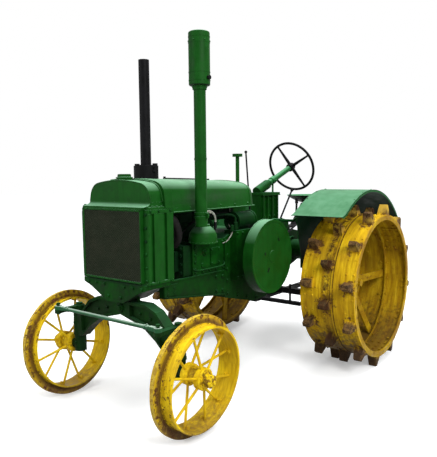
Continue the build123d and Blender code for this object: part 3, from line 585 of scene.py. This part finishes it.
# ======== front wheels
for name, side in SIDES:
    c = Vector((FRONT, side * FRONT_Y, FRONT_Z))
    out = Vector((0, side * cos(CAMBER), -sin(CAMBER)))
    up = Vector((0, side * sin(CAMBER), cos(CAMBER)))
    k = Kit()
    for d in (-0.072, 0.072):
        k.band(c + out * d, out, 0.298, 0.3085, 0.004, 72)
    # cast drums that hold the spokes, and the hub cap
    for d in (-0.058, 0.040):
        k.cyl(c + out * (d - 0.022), c + out * (d + 0.022), 0.0645, n=48)
    k.cyl(c + out * 0.064, c + out * 0.112, 0.038, n=32)
    # foot rings of the guide ring, its bolts, and those of the hub
    for d in (-0.0315, -0.0005):
        k.band(c + out * d, out, 0.304, 0.3105, 0.0045, 72)
    for i, (u, v) in enumerate(circle(12, 15)):
        foot, turn = c + out * (0.008 if i % 2 else -0.012), AHEAD * u + up * v
        k.nut(foot + turn * 0.296, -turn, 0.0125, 0.016)
        k.rivet(foot + turn * 0.3045, turn, 0.006, 0.010, 0.007)
    k.nuts([c + out * 0.062 + (AHEAD * u + up * v) * 0.050 for u, v in circle(8, 20)], out, 0.0065, 0.006)
    # dust cap and grease plug on the hub's end
    k.cyl(c + out * 0.110, c + out * 0.117, 0.034, 0.026, 24)
    k.nut(c + out * 0.117, out, 0.011, 0.010)
    k.band(c + out * 0.070, out, 0.0375, 0.0425, 0.004, 32)
    k.done(f"{name}_front_wheel_trim", "front_wheel_yellow", "yellow_paint", f"{name}_front_wheel")


# ======== hood and top tank
def arch(x, half_w, low, shoulder, top, grow=0.0, steps=7):
    """Points over the hood's section at x, from the left foot to the right foot."""
    foot, neck = Vector((half_w, low)), Vector((half_w - 0.010, shoulder))
    edge = Vector((half_w - 0.092, top - 0.016))
    bend = Vector((half_w - 0.038, shoulder + 0.66 * (top - 0.016 - shoulder)))
    pts = [foot, foot.lerp(neck, 0.5), neck]
    for a, b in ((neck, bend), (bend, edge)):
        for u in (0.35, 0.7, 1.0):
            p = a.lerp(b, u)
            pts.append(p + (Vector((p.x - edge.x + 0.02, p.y - neck.y + 0.02)).normalized() * 0.014 * u * (1 - u)))
    for i in range(1, steps):
        y = edge.x * (1 - i / steps)
        pts.append(Vector((y, top - 0.016 * (y / edge.x) ** 2)))
    whole = [(p.x + grow, p.y + grow) for p in pts] + [(0.0, top + grow)]
    return [at(x, u, v) for u, v in whole + [(-u, v) for u, v in reversed(whole[:-1])]]


k = Kit()
rows = [arch(1.731, 0.2955, 1.3035, 1.404, 1.486), arch(1.6655, 0.2955, 1.3035, 1.4028, 1.4844),
        arch(1.664, 0.2955, 1.273, 1.4028, 1.4844)]
# rounded rear end
for turn in (0, 20, 40, 60, 75, 90):
    drop = 0.058 * (1 - cos(radians(turn)))
    rows.append(arch(0.828 - 0.058 * sin(radians(turn)), 0.291 - drop * 0.5, 1.273, 1.388 - drop * 0.4, 1.460 - drop))
k.skin(rows)
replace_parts(k.done("hood_shell", "green_enamel", sharp=30), "hood")

k = Kit()
# foot flange of the tank and the cove over it
k.box((1.733, -0.263, 1.303), (1.899, 0.263, 1.317))
k.box((1.733, -0.292, 1.303), (1.874, 0.292, 1.317))
k.skin([[at(x, y, z) for x, z in ((1.733, 1.316), (1.889, 1.317), (1.862, 1.321), (1.843, 1.327), (1.834, 1.335),
                                  (1.831, 1.345), (1.733, 1.345))] for y in (-0.270, 0.270)])
k.done("tank_foot", "green_enamel", sharp=45)

k = Kit()
for s in (1, -1):
    # rolled lip along the bottom of the hood, screws above it
    k.tube([(0.790, s * 0.284, 1.276), (0.850, s * 0.291, 1.276), (1.660, s * 0.295, 1.276)], 0.0045, 8)
    for x in (0.86, 1.02, 1.18, 1.34, 1.50, 1.625):
        k.rivet((x, s * 0.286, 1.298), LEFT * s, 0.0095, 0.007, 0.005)
    k.nuts([(1.75 + 0.038 * i, s * 0.280, 1.317) for i in range(4)], UP, 0.0075, 0.007)
# beads where the hood meets the tank, round the tank's face and at the hood's rear
k.tube(arch(1.733, 0.2725, 1.345, 1.392, 1.477, 0.001), 0.0055, 8, 2)
k.tube(arch(1.828, 0.270, 1.345, 1.390, 1.474, -0.001), 0.0050, 8, 2)
k.tube(arch(0.832, 0.2905, 1.278, 1.388, 1.460), 0.0035, 8, 2)
# filler cap: ribs, rim and overflow pipe; rivets along the tank's face
for u, v in circle(8):
    k.rivet((CAP_X + 0.036 * u, 0.036 * v, 1.494), UP, 0.016, 0.006, 0.005, 8)
k.lathe((CAP_X, 0, 1.490), UP, ((0.040, -0.005), (0.052, -0.005), (0.052, 0.003), (0.040, 0.005)), 36)
k.tube([(CAP_X, -0.050, 1.480), (1.785, -0.075, 1.478), (1.785, -0.12, 1.474)], 0.005, 8)
for i in range(9):
    k.rivet((1.858, -0.228 + 0.057 * i, 1.312), UP, 0.0105, 0.006, 0.004, 8)
k.done("hood_and_tank_trim", "green_enamel")

# choke rod along the ridge of the hood, clamp of the exhaust stack
k = Kit()
k.tube([(0.945, 0, 1.4685), (1.15, 0, 1.4745), (1.42, 0, 1.4815)], 0.0045, 8)
k.rivet((1.420, 0, 1.470), UP, 0.024, 0.011, 0.008, 14)
k.rivet((0.950, 0, 1.455), UP, 0.019, 0.009, 0.006, 12)
for d in (-1, 1):
    k.nuts([(STACK_X + 0.001 + d * 0.013, y, z) for y in (0.084, -0.084) for z in (1.530, 1.556)],
           AHEAD * d, 0.007, 0.007)
k.lathe((STACK_X, 0, 1.566), UP, ((0.031, -0.004), (0.045, -0.004), (0.043, 0.004), (0.031, 0.004)), 40)
k.done("hood_controls", "black_enamel", "black_paint")

# ======== radiator
# core and side castings, with upright grooves; the screen stands proud of them
k = Kit()
plan = [(1.665, 0.296)]
for x in (1.735, 1.843):
    plan += [(x - 0.014, 0.296), (x - 0.014, 0.280), (x + 0.014, 0.280), (x + 0.014, 0.296)]
plan += [(1.880, 0.296)]
plan += [(x, -y) for x, y in reversed(plan)]
k.skin([[at(x, y, z) for x, y in plan] for z in (0.873, 1.278)])
k.box((1.665, -0.296, 0.858), (1.880, 0.296, 0.8735))
k.box((1.665, -0.296, 1.2775), (1.880, 0.296, 1.303))
for s in (1, -1):
    k.box((1.878, s * 0.252 - 0.0055, 0.867), (1.903, s * 0.252 + 0.0055, 1.303))
k.box((1.878, -0.257, 0.867), (1.903, 0.257, 0.878))
k.box((1.878, -0.257, 1.293), (1.903, 0.257, 1.303))
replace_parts(k.done("radiator_castings", "green_enamel"), "radiator")

k = Kit()
mesh_y, mesh_z, pitch = 0.2475, (0.877, 1.294), 0.0155
for lean, x in ((1, 1.8990), (-1, 1.9008)):
    # wires on the slant, cut off at the frame; height along the wire is c + y + mesh_y
    c = mesh_z[0] - 2 * mesh_y
    while c < mesh_z[1]:
        y0, y1 = max(0.0, mesh_z[0] - c) - mesh_y, min(mesh_y, mesh_z[1] - c - mesh_y)
        if y1 - y0 > 0.004:
            k.cyl((x, lean * y0, c + y0 + mesh_y), (x, lean * y1, c + y1 + mesh_y), 0.0016, n=4)
        c += pitch
k.done("radiator_mesh", "screen_wire", "core_metal")

k = Kit()
for s in (1, -1):
    k.nuts([(1.879, s * 0.277, 0.885 + 0.078 * i) for i in range(6)], AHEAD, 0.0085, 0.008)
    k.nuts([(x, s * 0.280, 1.303) for x in (1.69, 1.79, 1.858)], UP, 0.006, 0.004)
    k.nuts([(x, s * 0.2955, z) for x in (1.69, 1.79, 1.858) for z in (0.866, 1.291)], LEFT * s, 0.0075, 0.006)
for i in range(7):
    for z in (0.8725, 1.2985):
        k.rivet((1.902, -0.21 + 0.07 * i, z), AHEAD, 0.0035, 0.0035, 0.0025, 8)
# drain cock and its handle
k.rivet((1.80, 0.12, 0.700), UP, 0.065, 0.010, n=12)
k.rivet((1.80, 0.105, 0.712), LEFT, 0.045, 0.006)
k.done("radiator_bolts", "green_casting")

# ======== engine
k = Kit()
# hoses from the head to the radiator
k.tube([(1.505, 0.16, 1.048), (1.53, 0.215, 1.12), (1.59, 0.235, 1.215), (1.668, 0.225, 1.262)], 0.026, 16)
k.tube([(1.46, -0.225, 0.885), (1.54, -0.235, 0.875), (1.668, -0.235, 0.885)], 0.027, 16)
k.done("radiator_hoses", "black_rubber", "black_paint")

k = Kit()
for s in (1, -1):
    out = LEFT * s
    # cap screws along the block and the main case
    k.nuts([(1.112 + 0.074 * i, s * BLOCK_Y, z) for i in range(5) for z in (0.861, 1.042)]
           + [(1.408, s * BLOCK_Y, 0.885 + 0.045 * i) for i in range(4)], out, 0.0095, 0.010)
    k.nuts([(x, s * CASE_Y, z) for x, z in (
        (0.600, 1.060), (0.600, 0.960), (0.560, 0.700), (0.600, 0.600), (0.700, 0.575), (0.820, 0.600),
        (0.940, 0.630), (1.060, 0.665), (1.065, 0.760), (1.065, 0.840), (1.065, 0.940), (1.065, 1.030))],
        out, 0.011, 0.011)
    # head studs and the edge of the cover
    k.nuts([(HEAD_X, s * 0.212, z) for z in (0.872, 0.928, 0.984, 1.030)], AHEAD, 0.011, 0.012)
    k.nuts([(COVER_X, s * 0.172, z) for z in (0.90, 0.95, 0.995)], AHEAD, 0.008, 0.008)
    k.nuts([(HEAD_X, s * y, z) for y in (0.06, 0.15) for z in (0.866, 1.028)], AHEAD, 0.010, 0.011)
    # hand-hole cover on the block, its bolts, and the water jacket plug
    k.box((1.150, s * CASE_Y - 0.006, 0.895), (1.252, s * CASE_Y + 0.006, 1.010))
    k.nuts([(x, s * 0.256, z) for x in (1.162, 1.240) for z in (0.907, 0.998)], out, 0.007, 0.008)
    k.rivet((1.312, s * 0.246, 0.985), out, 0.012, 0.024, 0.021, 24)
    k.nut((1.312, s * 0.258, 0.985), out, 0.013, 0.011)
    k.rivet((1.335, s * 0.246, 0.905), out, 0.010, 0.016, 0.014, 20)
    # ribs between the case and the block
    k.box((1.078, s * 0.256 - 0.008, 0.845), (1.102, s * 0.256 + 0.008, 1.055))
# manifold: flanges, studs and ribs
for x in (1.115, 1.25, 1.385):
    k.box((x - 0.014, 0.146, 1.070), (x + 0.014, 0.160, 1.170))
    k.nuts([(x, 0.160, z) for z in (1.085, 1.155)], LEFT, 0.009, 0.010)
for x in (0.86, 1.00, 1.14, 1.28, 1.42):
    k.box((x - 0.010, 0.126, 1.190), (x + 0.010, 0.140, 1.262))
k.box((0.835, 0.122, 1.226), (1.53, 0.136, 1.240))
k.done("engine_covers_and_bolts", "green_casting")

# the governor and magneto beside the crankshaft
k = Kit()
k.nuts([(x, 0.306, z) for x in (0.825, 0.951, 1.010) for z in (0.778, 1.090)], LEFT, 0.009, 0.009)
for x in (0.757, 0.965):
    k.band((x, GOVERNOR_Y, GOVERNOR_Z), AHEAD, 0.058, 0.071, 0.006, 40)
k.rivet((0.748, GOVERNOR_Y, GOVERNOR_Z), -AHEAD, 0.006, 0.050, 0.044, 28)
k.nuts([(0.960, GOVERNOR_Y + 0.050 * u, GOVERNOR_Z + 0.050 * v) for u, v in circle(6)], AHEAD, 0.006, 0.006)
k.rivet((0.985, 0.270, 1.110), UP, 0.058, 0.020, 0.016, 20)
k.tube([(0.985, 0.270, 1.165), (0.985, 0.262, 1.205), (1.03, 0.235, 1.222), (1.10, 0.18, 1.218),
        (1.13, 0.125, 1.215)], 0.009, 10)
k.rivet((1.035, 0.275, 1.105), UP, 0.045, 0.014, 0.012, 16)
# bearing caps' bolts round the crankshaft bosses
for s, y in ((1, 0.310), (-1, -0.280)):
    k.bolts((CRANK_X, y, CRANK_Z), LEFT * s, 0.072, 6, 0.010, 0.010, 30)
k.tube([(1.10, 0.246, 0.905), (1.13, 0.268, 0.880), (1.30, 0.268, 0.876), (1.41, 0.264, 0.880),
        (1.43, 0.246, 0.890)], 0.0045, 8)
k.done("governor_and_bearing_trim", "green_casting")

# spark plugs and leads, fuel and oil pipes
k = Kit()
for y in (0.095, -0.095):
    k.nut((COVER_X, y, 0.945), AHEAD, 0.014, 0.012)
    k.rivet((1.551, y, 0.945), AHEAD, 0.005, 0.009, 0.006, 14)
k.tube([(0.965, 0.25, 1.20), (1.06, 0.205, 1.236), (1.30, 0.175, 1.200), (1.47, 0.150, 1.085),
        (1.549, 0.108, 0.965)], 0.0042, 8)
k.tube([(0.965, 0.23, 1.21), (1.08, 0.19, 1.226), (1.32, 0.165, 1.188), (1.45, 0.02, 1.088),
        (1.546, -0.085, 0.970)], 0.0042, 8)
k.done("spark_plugs_and_leads", "black_rubber", "black_paint")

k = Kit()
k.tube([(0.92, 0.165, 1.285), (0.92, 0.172, 1.225), (0.95, 0.180, 1.150), (1.02, 0.268, 1.110),
        (1.06, 0.270, 1.06), (1.09, 0.262, 1.038), (1.115, 0.246, 1.030)], 0.0045, 8)
k.tube([(0.700, 0.247, 0.985), (0.700, 0.268, 0.960), (0.700, 0.272, 0.900), (0.68, 0.272, 0.72),
        (0.65, 0.262, 0.67), (0.63, 0.247, 0.65)], 0.005, 8)
k.tube([(1.440, 0.312, 1.228), (1.385, 0.308, 1.256), (1.310, 0.302, 1.262), (1.262, 0.298, 1.232),
        (1.245, 0.292, 1.183)], 0.0075, 12)
k.rivet((1.318, 0.302, 1.250), UP, 0.018, 0.012, 0.010, 16)
k.done("fuel_and_oil_pipes", "dull_pipe", "bare_steel")

# ======== intake and its cleaner
k = Kit()
k.skin([[at(*CLEANER, z) + (AHEAD * u + LEFT * v) * r for u, v in circle(48)] for r, z in (
    (0.094, 1.062), (0.094, 1.096), (0.0925, 1.110), (0.088, 1.124), (0.080, 1.139), (0.069, 1.153),
    (0.056, 1.165), (0.046, 1.172), (0.042, 1.180))])
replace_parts(k.done("air_cleaner_bowl", "green_enamel", sharp=45), "air_cleaner")

k = Kit()
for z, r in ((1.238, 0.042), (1.262, 0.042), (1.60, 0.0395), (2.028, 0.044), (2.040, 0.047)):
    k.band((*INTAKE, z), UP, 0.034, r, 0.007, 36)
k.box((1.468, 0.398, 1.234), (1.482, 0.418, 1.266))
k.nut((1.468, 0.409, 1.250), -AHEAD, 0.007, 0.007)
k.band((*CLEANER, 1.066), UP, 0.088, 0.0965, 0.004, 44)
k.lathe((*CLEANER, 1.176), UP, ((0.030, -0.006), (0.048, -0.006), (0.046, 0.006), (0.030, 0.006)), 32)
for z in (2.075, 2.125, 2.300, 2.335):
    k.band((*INTAKE, z), UP, 0.060, 0.0675, 0.003, 40)
for u, v in circle(6, 10):
    turn = AHEAD * u + LEFT * v
    k.rivet(at(*INTAKE, 2.31) + turn * 0.064, turn, 0.0055, 0.006, 0.004, 8)
k.done("intake_bands", "green_enamel")

k = Kit()
k.rivet((1.475, 0.424, 2.088), LEFT, 0.020, 0.011, 0.013, 16)
k.cyl((1.395, 0.330, 1.235), (1.395, 0.356, 1.248), 0.011, 0.009, 14)
k.rivet((1.246, 0.292, 1.150), UP, 0.040, 0.012, 0.010, 16)
k.tube([(1.246, 0.292, 1.155), (1.240, 0.270, 1.100), (1.235, 0.235, 1.055)], 0.0075, 12)
k.done("stack_fittings", "black_enamel", "black_paint")

# ======== flywheel
hub = Vector((FLY, 0, FLY_Z))
k = Kit()
k.lathe(hub + LEFT * 0.483, LEFT, ((0.240, 0), (0.2605, 0), (0.2605, 0.0065), (0.244, 0.0065), (0.240, 0.0045)), 96)
k.rivet(hub + LEFT * 0.484, LEFT, 0.0055, 0.046, 0.044, 48)
k.band(hub + LEFT * 0.416, LEFT, 0.255, 0.264, 0.004, 96)
k.done("flywheel_face", "green_enamel", body="crank_group")
k = Kit()
# black patches where the slots are: painted shade of the openings
for dx, dz, w, h, a in ((-0.079, 0.114, 0.010, 0.026, 35), (0.055, -0.089, 0.012, 0.034, -32),
                        (0.10, 0.03, 0.010, 0.020, 15)):
    c, half = hub + Vector((dx, 0.4885, dz)), Vector((w / 2, 0.002, h / 2))
    k.box(c - half, c + half, Matrix.Rotation(radians(a), 3, "Y"))
k.done("flywheel_slot_shade", "black_enamel", "black_paint", "crank_group")
# belt pulley: bolts, rims and hub on the far side
k = Kit()
k.bolts(hub - LEFT * 0.430, -LEFT, 0.115, 6, 0.010, 0.010)
for y in (-0.3125, -0.4635):
    k.band(hub + LEFT * y, LEFT, 0.198, 0.2045, 0.006, 80)
k.lathe(hub - LEFT * 0.452, LEFT, ((0.035, -0.012), (0.074, -0.012), (0.072, 0.004), (0.035, 0.004)), 48)
k.done("belt_pulley_trim", "green_enamel", body="crank_group")

# ======== rails and bolster
k = Kit()
for s in (1, -1):
    # flanges of the channel rails
    for (x0, z0), (x1, z1) in (((1.098, 0.836), (1.700, 0.844)), ((1.098, 0.6675), (1.700, 0.747))):
        d = Vector((x1 - x0, 0, z1 - z0))
        mid, half = at((x0 + x1) / 2, s * 0.2535, (z0 + z1) / 2), Vector((d.length / 2, 0.0065, 0.005))
        k.box(mid - half, mid + half, Matrix.Rotation(-atan2(d.z, d.x), 3, "Y"))
    k.nuts([(x, s * CASE_Y, z) for x, z in (
        (1.12, 0.70), (1.12, 0.80), (1.19, 0.705), (1.19, 0.805), (1.62, 0.80), (1.62, 0.765), (1.68, 0.805),
        (1.68, 0.765))], LEFT * s, 0.012, 0.012)
    k.box((1.590, s * 0.2545 - 0.0045, 0.752), (1.715, s * 0.2545 + 0.0045, 0.826))
    # bolster's bolts
    k.nuts([(1.888, s * y, 0.832) for y in (0.09, 0.165, 0.24)], AHEAD, 0.010, 0.010)
    k.nut((1.888, s * 0.055, 0.760), AHEAD, 0.011, 0.011)
k.nut((1.854, 0, 0.684), AHEAD, 0.020, 0.012)
k.done("frame_trim", "green_casting")

# ======== front axle and steering
k = Kit()
for s in (1, -1):
    for z in (0.440, 0.598):
        k.band((WHEELBASE, s * KINGPIN_Y, z), UP, 0.038, 0.0455, 0.006, 36)
    k.nut((1.846, s * KINGPIN_Y, 0.520), AHEAD, 0.008, 0.010)
    k.nuts([(1.817, s * y, z) for y, z in ((0.150, 0.660), (0.238, 0.638))], AHEAD, 0.009, 0.012)
k.done("front_axle_trim", "green_casting")
for name, side in SIDES:
    k, y = Kit(), side * KINGPIN_Y
    k.nut((WHEELBASE, y, 0.634), UP, 0.024, 0.016)
    k.nut((TIE_X, y, 0.6685), UP, 0.013, 0.010)
    k.nut((TIE_X, y, 0.610), -UP, 0.012, 0.008)
    k.rivet((WHEELBASE, y, 0.322), UP, 0.008, 0.030, 0.037, 28)
    k.nut((1.842, y, 0.380), AHEAD, 0.010, 0.012)
    k.done(f"{name}_knuckle_nuts", "green_casting", body=f"{name}_knuckle_body")
k = Kit()
for s in (1, -1):
    for y in (0.376, 0.350):
        k.band((TIE_X, s * y, TIE_Z), LEFT, 0.010, 0.0155, 0.006, 24)
    k.nut((TIE_X, s * 0.364, 0.660), UP, 0.006, 0.006)
k.done("tie_rod_clamps", "highlit_green", body="tie_rod_body")

# ======== case, gear case and rear axle
k = Kit()
for s in (1, -1):
    out = LEFT * s
    k.nuts([(x, s * 0.100, 1.121) for x in (0.080, 0.150, 0.220, 0.290, 0.330)], UP, 0.009, 0.009)
    k.nuts([(x, s * 0.058, z) for x in (0.132, 0.206, 0.280) for z in (1.150, 1.300)], out, 0.009, 0.009)
    k.box((0.072, s * 0.0765 - 0.0035, 1.325), (0.338, s * 0.0765 + 0.0085, 1.334))
    # transmission case: top cover bolts and side cover
    k.nuts([(x, s * (0.130 if x < 0.55 else 0.225), 1.085) for x in (0.40, 0.46, 0.52, 0.60, 0.70, 0.80, 0.90, 1.00)],
           UP, 0.010, 0.010)
    k.rivet((0.330, s * 0.149, 0.900), out, 0.011, 0.085, 0.080, 44)
    k.bolts((0.330, s * 0.160, 0.900), out, 0.068, 6, 0.009, 0.009)
    # drop boxes: caps and bolts
    k.bolts((0, s * 0.373, DROP_Z), -out, 0.100, 8, 0.009, 0.010)
    k.bolts((0, s * 0.373, REAR_Z), -out, 0.106, 8, 0.009, 0.010)
    k.bolts((0, s * 0.172, DROP_Z), out, 0.092, 8, 0.009, 0.009)
# filler plug and drain plug
k.nut((0.45, 0.0, 1.085), UP, 0.022, 0.016)
k.nut((0.20, 0.0, 0.664), -UP, 0.020, 0.012)
k.done("case_bolts", "green_casting")

# ======== rods, pedals
k = Kit()
for s in (1, -1):
    k.tube([(0.100, s * 0.380, 0.585), (0.240, s * 0.362, 0.603), (0.366, s * 0.350, 0.620)], 0.006, 8)
    k.rivet((0.360, s * 0.350, 0.490), UP, 0.138, 0.009, n=12)
# clutch lever and brake rods from the platform to the case
k.tube([(0.02, 0.220, 1.080), (0.30, 0.262, 1.010), (0.52, 0.280, 0.950), (0.62, 0.245, 0.92)], 0.008, 8)
k.tube([(-0.31, 0.240, PLATFORM_Z), (-0.10, 0.250, 0.98), (0.02, 0.220, 1.080), (0.04, 0.225, 1.26)], 0.009, 8)
k.rivet((0.04, 0.225, 1.255), UP, 0.045, 0.014, 0.011, 14)
k.tube([(-0.20, -0.210, 0.815), (-0.12, -0.215, 0.90), (0.05, -0.225, 0.955), (0.40, -0.252, 0.94),
        (0.52, -0.240, 0.93)], 0.008, 8)
k.box((-0.250, -0.250, 0.812), (-0.190, -0.170, 0.820))
k.rivet((-0.205, -0.210, PLATFORM_Z), UP, 0.058, 0.010, n=12)
# gear lever's boot
k.cyl((0, 0, 1.050), (-0.004, 0, 1.078), 0.034, 0.015, 24)
k.done("control_rods", "black_enamel", "black_paint")
k = Kit()
for y in (0.155, -0.400):
    k.box((0.314, y, 1.127), (0.332, y + 0.245, 1.143))
k.done("fender_cross_bars", "green_faded")


# ======== fenders
def fender_line(inside, steps=26):
    """Side view of the fender's top, from the rear over the wheel to the turned-out front edge."""
    r, pts = FENDER_R - inside, []
    for i in range(steps + 1):
        a = radians(138 - 78 * i / steps)
        pts.append((FENDER_X + r * cos(a), REAR_Z + r * sin(a)))
    for length, lift in ((0.105, 0), (0.024, 3), (0.024, 8), (0.022, 14)):
        x, z = pts[-1]
        turn = radians(30 - lift)
        pts.append((x + length * cos(turn), z - length * sin(turn)))
    return pts


for name, side in SIDES:
    k = Kit()
    outer = fender_line(0.0)
    # top sheet, and the lip along its outer edge
    for depth, y0, y1 in ((0.004, FENDER_IN, FENDER_OUT), (0.016, FENDER_OUT - 0.005, FENDER_OUT)):
        k.skin([[at(x, side * y0, z), at(x, side * y1, z), at(u, side * y1, v), at(u, side * y0, v)]
                for (x, z), (u, v) in zip(outer, fender_line(depth))])
    panel = outer[:27] + [(0.506, 1.229), (0.506, 1.150), (0.415, 0.762), (-0.436, 0.762)]
    k.skin([[at(x, side * y, z) for x, z in panel] for y in (FENDER_IN, FENDER_IN + 0.004)])
    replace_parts(k.done(f"{name}_fender_sheet", "fender_enamel", sharp=25), f"{name}_fender")
    k = Kit()
    mid, out = at(FENDER_X, 0, REAR_Z), LEFT * side
    # bolts that hold the top to the inner panel and to the lip
    for u in [spoke(radians(a)) for a in range(66, 138, 12)]:
        k.rivet(mid + u * 0.747 + out * 0.500, u, 0.005, 0.008, 0.006)
        k.rivet(mid + u * 0.747 + out * 0.885, u, 0.0045, 0.006, 0.004)
        k.rivet(mid + u * 0.725 + out * FENDER_IN, -out, 0.006, 0.008, 0.006)
    # stiffening angle down the panel, and its rivets
    for x in (-0.22, 0.20):
        k.box((x - 0.014, side * 0.4855 - 0.0025, 0.785), (x + 0.014, side * 0.4855 + 0.0025, 1.230))
        for z in (0.82, 0.95, 1.08, 1.20):
            k.rivet((x, side * 0.483, z), -out, 0.005, 0.007, 0.005)
    k.done(f"{name}_fender_bolts", "fender_enamel")

# ======== seat, platform, drawbar
k = Kit()
k.nuts([(x, y, 1.231) for x in (-0.600, -0.555) for y in (0.028, -0.028)], UP, 0.009, 0.006)
k.nut((-0.080, 0, 1.028), UP, 0.016, 0.014)
k.done("seat_bolts", "worn_steel")
k = Kit()
# raised treads of the platform's plate
for i in range(13):
    for j in range(15):
        x, y = -0.622 + 0.038 * i, -0.272 + 0.0389 * j
        turn = Matrix.Rotation(radians(45 if (i + j) % 2 else -45), 3, "Z")
        k.box((x - 0.011, y - 0.003, PLATFORM_Z), (x + 0.011, y + 0.003, PLATFORM_Z + 0.0035), turn)
k.done("platform_tread", "green_casting")
k = Kit()
k.nuts([(x, s * y, 0.484) for s in (1, -1) for y in (0.05, 0.14, 0.30, 0.42) for x in (0.380, 0.030)],
       AHEAD, 0.008, 0.008)
k.done("drawbar_bolts", "black_enamel", "black_paint")


# ======== steering column and wheel
def on_column(x):
    """Point on the steering shaft, x ahead of the rear axle."""
    return at(x, 0, WHEEL_Z - (x - WHEEL_X) * sin(SLOPE) / cos(SLOPE))


k = Kit()
# tube round the steering shaft and its clamp rings
for x0, x1, r in ((-0.211, 0.150, 0.024), (0.036, 0.088, 0.032), (0.108, 0.128, 0.029)):
    k.cyl(on_column(x0), on_column(x1), r, n=28)
k.nut(on_column(0.062) + LEFT * 0.031, LEFT, 0.008, 0.010)
k.done("steering_column_tube", "green_faded")

k = Kit()
axis, hub = Vector((cos(SLOPE), 0, -sin(SLOPE))), at(WHEEL_X, 0, WHEEL_Z)
across = axis.cross(LEFT).normalized()
for c, s in circle(4, 28):
    u = LEFT * c + across * s
    k.cyl(hub + u * 0.022, hub + u * 0.205, 0.015, 0.0085, 16)
k.nut(hub - axis * 0.018, -axis, 0.018, 0.012)
k.band(hub + axis * 0.028, axis, 0.030, 0.036, 0.005, 36)
k.done("steering_wheel_spokes", "black_enamel", "black_paint", "steering_wheel_body")


# ======== camera
def aim(yaw, pitch, roll):
    """Camera rotation looking along yaw and pitch, tipped by roll."""
    f = Vector((cos(pitch) * cos(yaw), cos(pitch) * sin(yaw), sin(pitch)))
    r = f.cross(UP).normalized()
    u = r.cross(f)
    r2, u2 = r * cos(roll) + u * sin(roll), u * cos(roll) - r * sin(roll)
    return Matrix((r2, u2, -f)).transposed().to_4x4()


cam_data = bpy.data.cameras.new("camera")
cam_data.sensor_width = 36.0
cam_data.lens = 43.39
cam = place("camera", cam_data)
turn = aim(radians(-142.310), radians(-5.564), radians(-0.570))
cam.matrix_world = Matrix.Translation(at(4.134, 2.550, 1.501)) @ turn
scene.camera = cam


# ======== floor and light
def seen(tree):
    """1 for rays from the camera, off a shiny surface or through glass; 0 for the rest."""
    path = new(tree, "LightPath")
    total = path.outputs["Is Camera Ray"]
    for name in ("Is Glossy Ray", "Is Transmission Ray"):
        most = new(tree, "Math")
        most.operation = "MAXIMUM"
        tree.links.new(total, most.inputs[0])
        tree.links.new(path.outputs[name], most.inputs[1])
        total = most.outputs[0]
    return total


def choose(tree, unseen, shown, out):
    """Shader for the light that a surface gives, and the one that the camera sees."""
    pick = new(tree, "MixShader")
    for i, socket in enumerate((seen(tree), unseen, shown)):
        tree.links.new(socket, pick.inputs[i])
    tree.links.new(pick.outputs[0], out)


t = Tree("pale_floor", 0.0)
t.done((0.88, 0.88, 0.88), 1.0)
glow, both = t.node("Emission", (1.0, 1.0, 1.0), 0.30), new(t.tree, "AddShader")
dim = t.node("BsdfDiffuse", (0.34, 0.34, 0.33))
t.put(both.inputs[0], t.bsdf.outputs[0])
t.put(both.inputs[1], glow.outputs[0])
choose(t.tree, dim.outputs[0], both.outputs[0], t.out.inputs[0])
mesh = bpy.data.meshes.new("floor")
mesh.from_pydata([(-40, -40, 0), (40, -40, 0), (40, 40, 0), (-40, 40, 0)], [], [(0, 1, 2, 3)])
mesh.materials.append(t.mat)
floor = place("floor", mesh)

# a world that is brighter overhead, and white to the camera
world = bpy.data.worlds.new("studio")
scene.world = world
world.use_nodes = True
sky = world.node_tree
light, white = sky.nodes["Background"], new(sky, "Background")
height, grade = new(sky, "SeparateXYZ"), new(sky, "MapRange")
sky.links.new(new(sky, "TexCoord").outputs["Generated"], height.inputs[0])
sky.links.new(height.outputs[2], grade.inputs[0])
for s, v in zip(grade.inputs[1:], (0.0, 0.9, 0.30, 1.05)):
    s.default_value = v
sky.links.new(grade.outputs[0], light.inputs[1])
light.inputs[0].default_value = (0.95, 0.98, 1.0, 1.0)
white.inputs[0].default_value = (1.0, 1.0, 1.0, 1.0)
choose(sky, light.outputs[0], white.outputs[0], sky.nodes["World Output"].inputs[0])


def lamp(name, where, size, power):
    """Round lamp that looks at the middle of the tractor."""
    data = bpy.data.lights.new(name, "AREA")
    data.shape, data.size, data.energy = "DISK", size, power
    obj = place(name, data)
    obj.location = where
    obj.rotation_euler = (Vector((0.2, 0, 0.8)) - Vector(where)).to_track_quat("-Z", "Y").to_euler()


lamp("key", (2.5, 5.5, 4.5), 3.0, 330)
lamp("top", (-1.0, 1.0, 6.5), 4.0, 300)
lamp("fill", (5.5, -2.5, 3.0), 3.5, 110)
scene.view_settings.view_transform = "Standard"
